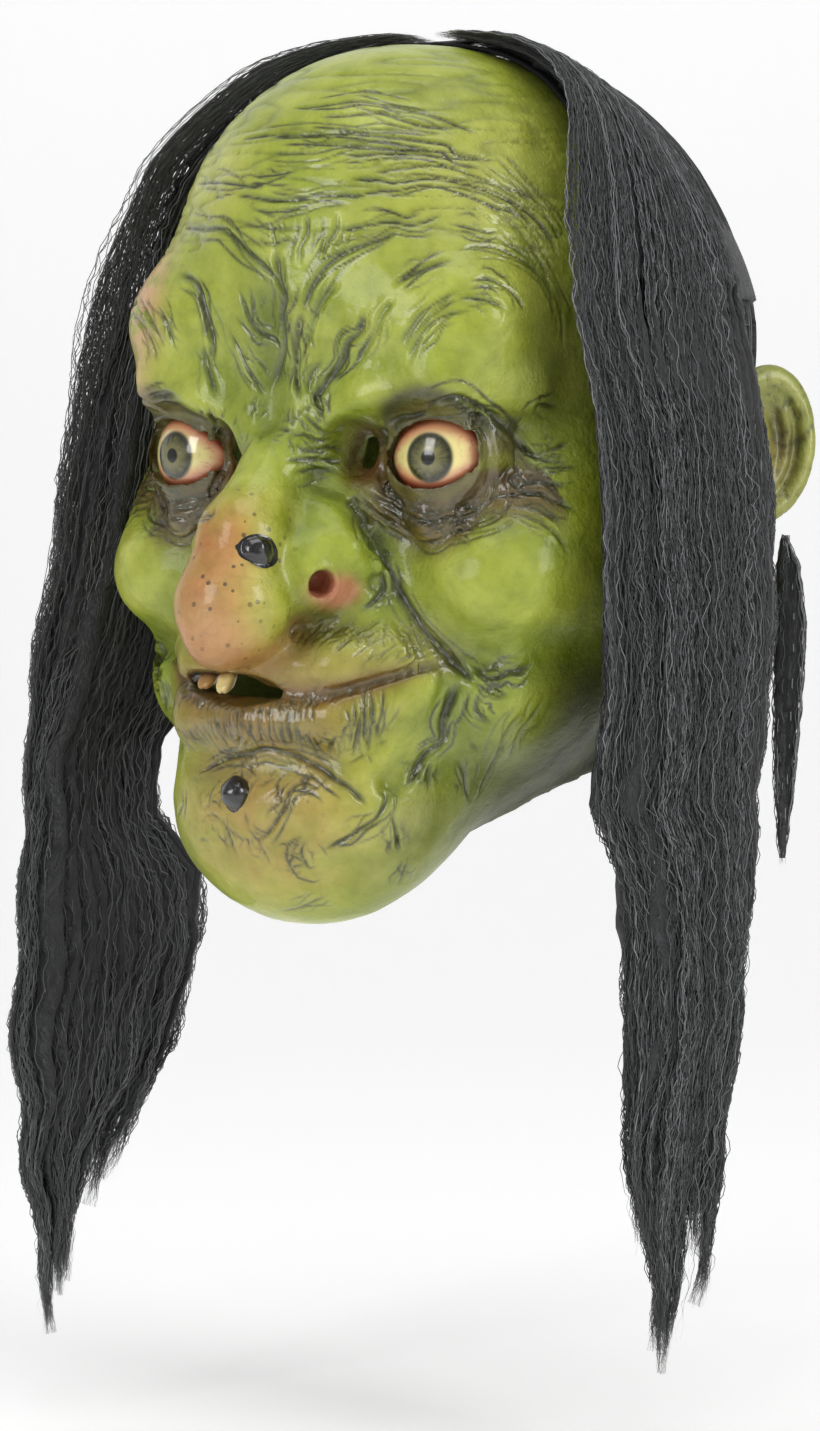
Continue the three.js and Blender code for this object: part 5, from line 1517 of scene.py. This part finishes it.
def front_lock(key):
    s, st = LOCKS[key]
    rng = np.random.default_rng(21 if s > 0 else 22)
    tips = clump_tips(s, rng)
    tl = np.array([t_[0] for t_ in tips])
    tz = np.array([t_[1] for t_ in tips])
    tr = np.array([t_[2] for t_ in tips])

    def strands(n, full, rho_lo, rho_hi, spacing=3.1, amp=(0.5, 1.25), stray=0.0, light=0.22, thin=(0.11, 0.19)):
        l = rng.uniform(-1, 1, n)
        rho = np.where(rng.random(n) < 0.5, rng.uniform(rho_lo, rho_hi, n), rng.uniform(max(rho_lo, rho_hi - 0.35), rho_hi, n)) if full else rng.uniform(rho_lo, rho_hi, n)
        c = np.argmin(np.abs(l[:, None] - tl[None]), 1)
        zt = tz[c] + np.abs(rng.normal(0, 14, n)) * (rng.random(n) < 0.75)
        zt = np.maximum(zt, -411)
        start = np.where(full, 4.0, 84.0)
        q = (l + 1) / 2
        q0 = q - (0.10 * rng.random(n) * (q < 0.3))
        th0 = rng.uniform(2.0, 9.0, n) if full else np.full(n, 80.0)
        Ns, Nl = (46 if full else 3), int(350 / spacing)
        th = th0[:, None] + (90 - th0[:, None]) * np.linspace(0, 1, Ns)[None]
        up = np.clip((rho + 1) / 2, 0, 1.1)[:, None]
        qq = np.clip(q0, -0.12, 1)[:, None]
        lev = 2.0 + (np.interp(th, *OUTER_F) * (1 - qq) + np.interp(th, *OUTER_R) * qq - 2.0) * up
        ahead = np.interp(th, *FORWARD) * up ** 1.5 * (1 - qq) ** 1.3
        A_ = scalp_path(s, qq + 0 * th, th, lev, ahead)
        f = np.linspace(0, 1, Nl + 1)[1:]
        z = -62 + (zt[:, None] + 62) * f[None]
        conv = bump01(f, 0.70, 1.0)[None] ** 1.2 * 0.85
        lw = l[:, None] + (tl[c][:, None] - l[:, None]) * conv * np.clip(np.abs(zt[:, None] + 0) / 300, 0, 1)
        drift = stray * rng.normal(0, 1, n)[:, None] * f[None] ** 1.5
        rh = rho[:, None] + (tr[c][:, None] - rho[:, None]) * conv * 0.8
        B_ = lock_point(st, s, z, np.clip(lw + drift * 0.3, -1.25, 1.25), rh + drift)
        # settle from the scalp into the lock
        k = bump01(f, 0.0, 0.16)[None, :, None]
        last = A_[:, -1:, :]
        hang = last + (B_ - lock_point(st, s, np.full_like(z, -62.0), l[:, None] + 0 * z, rho[:, None] + 0 * z))
        B_ = hang * (1 - k) + B_ * k
        P = np.concatenate([A_, B_], 1)
        seg = np.linalg.norm(np.diff(P, axis=1), axis=2)
        sl = np.concatenate([np.zeros((n, 1)), np.cumsum(seg, 1)], 1)
        tan = np.gradient(P, axis=1)
        tan /= np.maximum(np.linalg.norm(tan, axis=2, keepdims=True), 1e-9)
        outw = np.stack([np.full(sl.shape, float(s)), np.zeros(sl.shape), np.clip((P[..., 2] + 62) / 70, 0, 1)], -1)
        outw -= tan * (outw * tan).sum(-1, keepdims=True)
        outw /= np.maximum(np.linalg.norm(outw, axis=2, keepdims=True), 1e-9)
        side = np.cross(tan, outw)
        grow = 0.45 + 0.55 * bump01(sl, 40, 190)
        am = rng.uniform(*amp, n)
        wv = rng.uniform(8.0, 13.0, n)
        ph = rng.uniform(0, 2 * math.pi, n) * 0.6 + c * 1.7
        P = crimp(P, side, sl, am, wv, ph, grow)
        P = crimp(P, outw, sl, am * 0.45, wv * 1.15, ph + 1.3, grow)
        P = crimp(P, side, sl, np.full(n, 1.6), np.full(n, 46.0), c * 0.9 + 0.4, bump01(sl, 120, 230))
        light = light if s > 0 else light + 0.25
        tone = np.where(rng.random(n) < light, rng.uniform(0.6, 1.0, n), rng.uniform(0.05, 0.65, n))
        rad = rng.uniform(*thin, n)
        return P, rad, tone, outw

    made = []
    body = key
    for tag, arg in (("over", dict(n=820, full=True, rho_lo=-0.4, rho_hi=1.05)),
                     ("stray", dict(n=36, full=True, rho_lo=0.6, rho_hi=1.2, stray=0.35, light=0.5, amp=(0.8, 1.6))),
                     ("under", dict(n=620, full=False, rho_lo=-1.0, rho_hi=1.0))):
        for ob in tubes("hair_%s_%s" % (key, tag), *strands(**arg)):
            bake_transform(ob)
            made.append(ob)
    # solid tresses that the strands lie round
    VV, TT, HS, HT, base = [], [], [], [], 0
    for i, (l0, z1, r0) in enumerate(tips):
        for layer, (rc, span) in enumerate(((-0.35, 1.25), (0.35, 1.25))):
            zend = z1 + (10 if layer else 22)
            zs = np.linspace(-58, zend, 84)
            n = 12
            rings, hs, ht = [], [], []
            for z in zs:
                cx, cy, a, b_, tw = [float(v) for v in lock_at(st, np.array(max(min(z, -62), -412)))]
                f = (z + 58) / (zend + 58)
                w = max(1.0 - f, 0.0) ** 0.5 if f > 0.72 else 1.0
                w = min(w, 1.0) if f <= 0.72 else ((1 - f) / 0.28) ** 0.8
                w = max(w, 0.03) * min(1, 0.12 + (-(z + 58)) / 34)
                half = a * span / len(tips) * w
                th = b_ * 0.52 * w
                c0 = lock_point(st, s, np.array([float(z)]), np.array([l0 * 0.93]), np.array([rc * 0.9]))[0]
                side_off = (1.6 * math.sin(2 * math.pi * (-z) / 46.0 + i * 0.9 + 0.4) * bump01(np.array(-z), 80, 180)) + 0.6 * math.sin(-z / 2.0 + i)
                k = math.radians(tw)
                ring = []
                for q in np.linspace(0, 2 * math.pi, n, endpoint=False):
                    la, ou = half * math.cos(q), th * math.sin(q)
                    la += side_off
                    ring.append((c0[0] + s * (ou * math.cos(k) - la * math.sin(k)), c0[1] + la * math.cos(k) + ou * math.sin(k), z))
                    hs.append(l0 * 35 + half * 1.2 * q)
                    ht.append(-z + 40)
                rings.append(ring)
            v, t_ = loft(rings)
            hs += [l0 * 35, l0 * 35]
            ht += [60, -zend + 40]
            VV.append(v)
            TT.append(t_ + base)
            HS += hs
            HT += ht
            base += len(v)
    ob = mesh_object("hair_%s_tresses" % key, np.concatenate(VV), np.concatenate(TT))
    float_attr(ob, "hs", HS)
    float_attr(ob, "ht", HT)
    use(ob, HAIR_MASS, "hair", "lock_" + key, body=body)
    return made


for key in LOCKS:
    front_lock(key)


# scalp hair behind the locks
def cover_fn(X, Y, Z):
    d = forms(FORMS, X, Y, Z)
    th = np.degrees(np.arctan2(np.abs(X), np.maximum(Z + 62, 0.0) + 1e-3))
    edge = np.interp(Z, [-56, -50, -30, -10, 9, 22], [-47, -45, -41, -32, -22, -18.5]).astype(F)
    q = np.clip((Y - edge) / 60, 0, 1)
    top = np.interp(th, *OUTER_F) * (1 - q) + np.interp(th, *OUTER_R) * q
    top = np.maximum(top * 0.72, 3.6).astype(F)
    s = np.maximum(F(1.9) - d, d - top)
    front = edge + 2 * np.sin(Z * 0.9) - Y - np.interp(th, *FORWARD).astype(F) * 0.8 * np.clip((d - 2) / np.maximum(top, 5), 0, 1) ** 1.5
    under = np.where(Y > 27, F(-199) - Z, F(-58) - F(12) * np.clip((Y + 14) / F(24), 0, 1) - Z)
    # behind the ears, the nape panel starts further back
    ear_gap = np.where((Z < -62) & (Y < 66), (66 - Y) * F(0.8) - np.maximum(0, (-62 - Z) * 0 + 0), F(-9))
    k = np.maximum(np.maximum(front, under), ear_gap)
    return smax(s, k, 1.5)


D = sampled(cover_fn, (-100, -60, -206), (100, 112, 34), 2.4)
CV, CQ = nets(D, (-100, -60, -206), 2.4)
CT = np.concatenate([CQ[:, [0, 1, 2]], CQ[:, [0, 2, 3]]])
cover = mesh_object("hair_cover", CV, CT)
az = np.arctan2(np.abs(CV[:, 0]), CV[:, 1] - 10)
dome = np.arctan2(np.abs(CV[:, 0]), CV[:, 2] + 62)
behind = bump01(CV[:, 1], 12, 34)
float_attr(cover, "hs", np.where(CV[:, 1] < 20, CV[:, 1], az * 85))
float_attr(cover, "ht", np.where(CV[:, 1] < 20, dome * 90, -CV[:, 2]) + np.maximum(0, -62 - CV[:, 2]))
use(cover, HAIR_MASS, "hair", *["hair_%s_%s" % (a, b_) for a in ("crown", "side", "back_upper", "back_lower") for b_ in ("left", "right")], body="mask")


def back_hair(s):
    rng = np.random.default_rng(31 if s > 0 else 32)
    n = 520
    az = rng.uniform(0.0, 1.0, n) ** 0.9           # 0 at the rear centre, 1 beside the lock
    a = math.pi / 2 - az * 1.62
    # start on the parting, run back and down
    sy = np.interp(az, [0, 1], [66, 20]) + rng.uniform(-7, 7, n)
    end = np.where(az > 0.72, rng.uniform(-70, -52, n), rng.uniform(-198, -150, n))
    N = 64
    f = np.linspace(0, 1, N)
    lev = rng.uniform(2.4, 5.5, n)
    C = np.array((0.0, 12.0, -72.0))
    # directions on a sphere from the start to the level of the ears
    st = np.stack([rng.uniform(1.0, 5.0, n), sy - C[1], np.full(n, 92.0)], 1)
    st /= np.linalg.norm(st, axis=1, keepdims=True)
    en = np.stack([np.cos(a), np.sin(a), np.full(n, 0.02)], 1)
    en[:, 0] = np.abs(en[:, 0])
    om = np.arccos(np.clip((st * en).sum(1), -1, 1))
    g = np.clip(f / 0.5, 0, 1)
    d = (np.sin((1 - g)[None] * om[:, None])[..., None] * st[:, None] + np.sin(g[None] * om[:, None])[..., None] * en[:, None]) / np.sin(om)[:, None, None]
    r = np.full(d.shape[:2], 88.0)
    down = np.clip((f - 0.5) / 0.5, 0, 1)
    zz = down[None] * (end[:, None] - C[2])
    Cc = C + np.stack([np.zeros_like(zz), np.zeros_like(zz), zz], -1)
    for _ in range(6):
        p = Cc + d * r[..., None]
        q = p.reshape(-1, 3)
        dd = forms(FORMS, *[q[:, i].astype(F) for i in range(3)]).reshape(r.shape)
        r = r - np.clip(dd - lev[:, None] * np.clip(0.4 + f * 4, 0.4, 1), -12, 12) * 0.9
    P = Cc + d * r[..., None]
    P[..., 0] = np.maximum(P[..., 0], 0.25) * s
    outw = d.copy()
    outw[..., 0] *= s
    seg = np.linalg.norm(np.diff(P, axis=1), axis=2)
    sl = np.concatenate([np.zeros((n, 1)), np.cumsum(seg, 1)], 1)
    tan = np.gradient(P, axis=1)
    tan /= np.maximum(np.linalg.norm(tan, axis=2, keepdims=True), 1e-9)
    side = np.cross(tan, outw)
    side /= np.maximum(np.linalg.norm(side, axis=2, keepdims=True), 1e-9)
    P = crimp(P, side, sl, rng.uniform(0.5, 1.3, n), rng.uniform(8, 13, n), rng.uniform(0, 6.28, n), 0.45 + 0.55 * bump01(sl, 30, 120))
    tone = np.where(rng.random(n) < 0.12, rng.uniform(0.75, 1.0, n), rng.uniform(0.1, 0.6, n))
    for ob in tubes("hair_back_%s" % ("left" if s > 0 else "right"), P, rng.uniform(0.14, 0.21, n), tone, outw):
        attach(ob, "mask")


for s in (1, -1):
    back_hair(s)

BACK = [[-142, 88.5, 56, 1.5, 1.2, -35], [-150, 89, 57, 4.5, 3, -35], [-170, 89.5, 57.5, 6.2, 4, -35], [-195, 89.5, 56.5, 5.6, 3.4, -35], [-225, 89, 55.5, 3.6, 2.4, -35], [-251, 88.5, 55.5, 1.0, 0.8, -35]]
for key, s in (("back_left", 1), ("back_right", -1)):
    rng = np.random.default_rng(41 if s > 0 else 42)
    n = 70
    l = rng.uniform(-1, 1, n)
    rho = rng.uniform(-1, 1, n)
    zt = -251 + np.abs(rng.normal(0, 20, n))
    f = np.linspace(0, 1, 44)
    z = -140 + (zt[:, None] + 140) * f[None]
    P = lock_point(BACK, s, z, l[:, None] + 0 * z, rho[:, None] + 0 * z)
    P[..., 2] = z
    out = np.zeros_like(P)
    out[..., 0] = s
    side = np.zeros_like(P)
    side[..., 1] = 1
    sl = -z
    P = crimp(P, side, sl, rng.uniform(0.3, 0.9, n), rng.uniform(8, 12, n), rng.uniform(0, 6.28, n))
    obs = tubes("hair_%s" % key, P, rng.uniform(0.15, 0.22, n), np.where(rng.random(n) < 0.3, 0.9, 0.45), out)
    for i, ob in enumerate(obs):
        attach(ob, key)
    rings = []
    for zz_ in np.linspace(-141, -248, 60):
        cx, cy, a, b_, tw = [float(v) for v in lock_at(BACK, np.array(zz_))]
        k = math.radians(tw)
        rings.append([(s * (cx + 0.8 * b_ * math.sin(q) * math.cos(k) - 0.8 * a * math.cos(q) * math.sin(k)), cy + 0.8 * a * math.cos(q) * math.cos(k) + 0.8 * b_ * math.sin(q) * math.sin(k) + 0.5 * math.sin(zz_ / 1.8), zz_) for q in np.linspace(0, 2 * math.pi, 14, endpoint=False)])
    v, t_ = loft(rings)
    ob = mesh_object("hair_%s_tress" % key, v, t_)
    float_attr(ob, "hs", np.arctan2(v[:, 0] * s - 91, v[:, 1] - 57) * 5)
    float_attr(ob, "ht", -v[:, 2])
    use(ob, HAIR_MASS, "hair", "lock_" + key, body=key)

# ------------------------------------------------------------------ weft bands
WEFT = plain("weft_band", srgb("#161618"), 0.85, noise_scale=600, amount=0.4, bump_mm=0.4, bump_scale=1300)


def inside_poly(poly, Y, Z):
    """signed distance to a y,z polygon, below zero inside"""
    p = np.array(poly, float)
    d = np.full(Y.shape, 1e9)
    odd = np.zeros(Y.shape, bool)
    for i in range(len(p)):
        a, b_ = p[i], p[(i + 1) % len(p)]
        e = b_ - a
        t_ = np.clip(((Y - a[0]) * e[0] + (Z - a[1]) * e[1]) / (e @ e), 0, 1)
        d = np.minimum(d, np.hypot(Y - a[0] - t_ * e[0], Z - a[1] - t_ * e[1]))
        c = ((a[1] > Z) != (b_[1] > Z))
        if e[1] != 0:
            odd ^= c & (Y < (b_[0] - a[0]) * (Z - a[1]) / e[1] + a[0])
    return np.where(odd, -d, d).astype(F)


def band_fn(poly, x0):
    def fn(X, Y, Z):
        d = forms(FORMS, X, Y, Z)
        s = np.abs(d - F(1.05)) - F(0.62)
        e = np.maximum(inside_poly(poly, Y, Z), F(x0) - X if x0 is not None else F(-9))
        return smax(s, e, 0.4)
    return fn


EDGE = [[-20, 60], [-20.5, 20], [-24, 8], [-34, -11], [-43, -31], [-46, -40], [-37, -40], [-34, -31], [-25, -11], [-15, 8], [-11, 20], [-11, 60]]


def band(name, poly, lo, hi, x0, *nodes_, mirror=False):
    fn = band_fn(poly, x0)
    D = sampled(fn, lo, hi, 0.8)
    V, Q = nets(D, lo, 0.8)
    T = np.concatenate([Q[:, [0, 1, 2]], Q[:, [0, 2, 3]]])
    V = project(fn, V, 2, 0.4)
    if mirror:
        V = V * np.array([-1, 1, 1])
        T = T[:, ::-1]
    use(mesh_object(name, V, T), WEFT, "weft", *nodes_, body="mask")


for mirror, sd in ((False, "left"), (True, "right")):
    band("weft_hairline_" + sd, EDGE, (1, -52, -44), (88, -6, 28), 3, "weft_track_hairline_" + sd, mirror=mirror)
    band("weft_side_" + sd, [[-46, -42], [-46, -49], [90, -49], [90, -42]], (1, -50, -51), (92, 94, -40), 3, "weft_track_side_" + sd, mirror=mirror)
band("weft_back_upper", [[42, -92], [42, -99], [120, -99], [120, -92]], (-86, 38, -101), (86, 102, -90), None, "weft_track_back_upper")
band("weft_back_lower", [[60, -128], [60, -135], [120, -135], [120, -128]], (-62, 56, -137), (62, 92, -126), None, "weft_track_back_lower")


# ------------------------------------------------------------------ camera, light, floor
sc = bpy.context.scene
sc.view_settings.view_transform = "Standard"
sc.view_settings.look = "None"
az, el = math.radians(35), math.radians(4)
back = Vector((math.sin(az) * math.cos(el), -math.cos(az) * math.cos(el), math.sin(el)))
right = Vector((math.cos(az), math.sin(az), 0))
target = right * (-0.0201) + Vector((0, 0, -0.2006))
cam_data = bpy.data.cameras.new("camera")
cam_data.lens = 112.6
cam_data.sensor_width = 36
cam_data.sensor_fit = "AUTO"
cam_data.clip_end = 10
cam = bpy.data.objects.new("camera", cam_data)
cam.location = target + back * 1.5
cam.rotation_euler = (-back).to_track_quat("-Z", "Y").to_euler()
sc.collection.objects.link(cam)
sc.camera = cam


def area(name, loc, aim, size, watts, color=(1, 1, 1), size_y=None):
    d = bpy.data.lights.new(name, "AREA")
    d.energy = watts
    d.color = color
    d.size = size
    if size_y:
        d.shape = "RECTANGLE"
        d.size_y = size_y
    o = bpy.data.objects.new(name, d)
    o.location = loc
    o.rotation_euler = (Vector(aim) - Vector(loc)).to_track_quat("-Z", "Y").to_euler()
    sc.collection.objects.link(o)


C0 = Vector((0, -0.06, -0.13))
area("softbox_left", C0 + back * 1.0 - right * 1.05 + Vector((0, 0, 0.45)), C0, 0.5, 8, size_y=0.8)
area("softbox_right", C0 + back * 0.9 + right * 1.15 + Vector((0, 0, 0.5)), C0, 0.5, 9.5, size_y=0.8)
area("top", C0 + Vector((0, 0, 1.3)) + back * 0.25, C0, 0.9, 6)
w = bpy.data.worlds.new("studio")
w.use_nodes = True
w.node_tree.nodes["Background"].inputs[0].default_value = (0.95, 0.95, 0.95, 1)
w.node_tree.nodes["Background"].inputs[1].default_value = 0.34
sc.world = w

FLOOR_Z = -0.436
bm = bmesh.new()
n = 24
prof = [(-2.2, FLOOR_Z), (0.9, FLOOR_Z)]
prof += [(0.9 + 0.6 * math.sin(q), FLOOR_Z + 0.6 - 0.6 * math.cos(q)) for q in np.linspace(0.1, math.pi / 2, 14)]
prof += [(1.5, FLOOR_Z + 3.2)]
rows = []
for d_, z_ in prof:
    p = -back * d_
    row = [bm.verts.new((p.x + right.x * x_, p.y + right.y * x_, z_)) for x_ in (-3.2, 3.2)]
    rows.append(row)
for a, b_ in zip(rows, rows[1:]):
    bm.faces.new((a[0], a[1], b_[1], b_[0]))
me = bpy.data.meshes.new("sweep")
bm.to_mesh(me)
bm.free()
for p in me.polygons:
    p.use_smooth = True
sweep = bpy.data.objects.new("sweep", me)
sc.collection.objects.link(sweep)
FLOOR = plain("paper_sweep", (0.86, 0.86, 0.86), 0.9, spec=0.1)
fb = next(n_ for n_ in FLOOR.node_tree.nodes if n_.type == "BSDF_PRINCIPLED")
fb.inputs["Emission Color"].default_value = (1, 1, 1, 1)
fb.inputs["Emission Strength"].default_value = 0.28
sweep.data.materials.append(FLOOR)
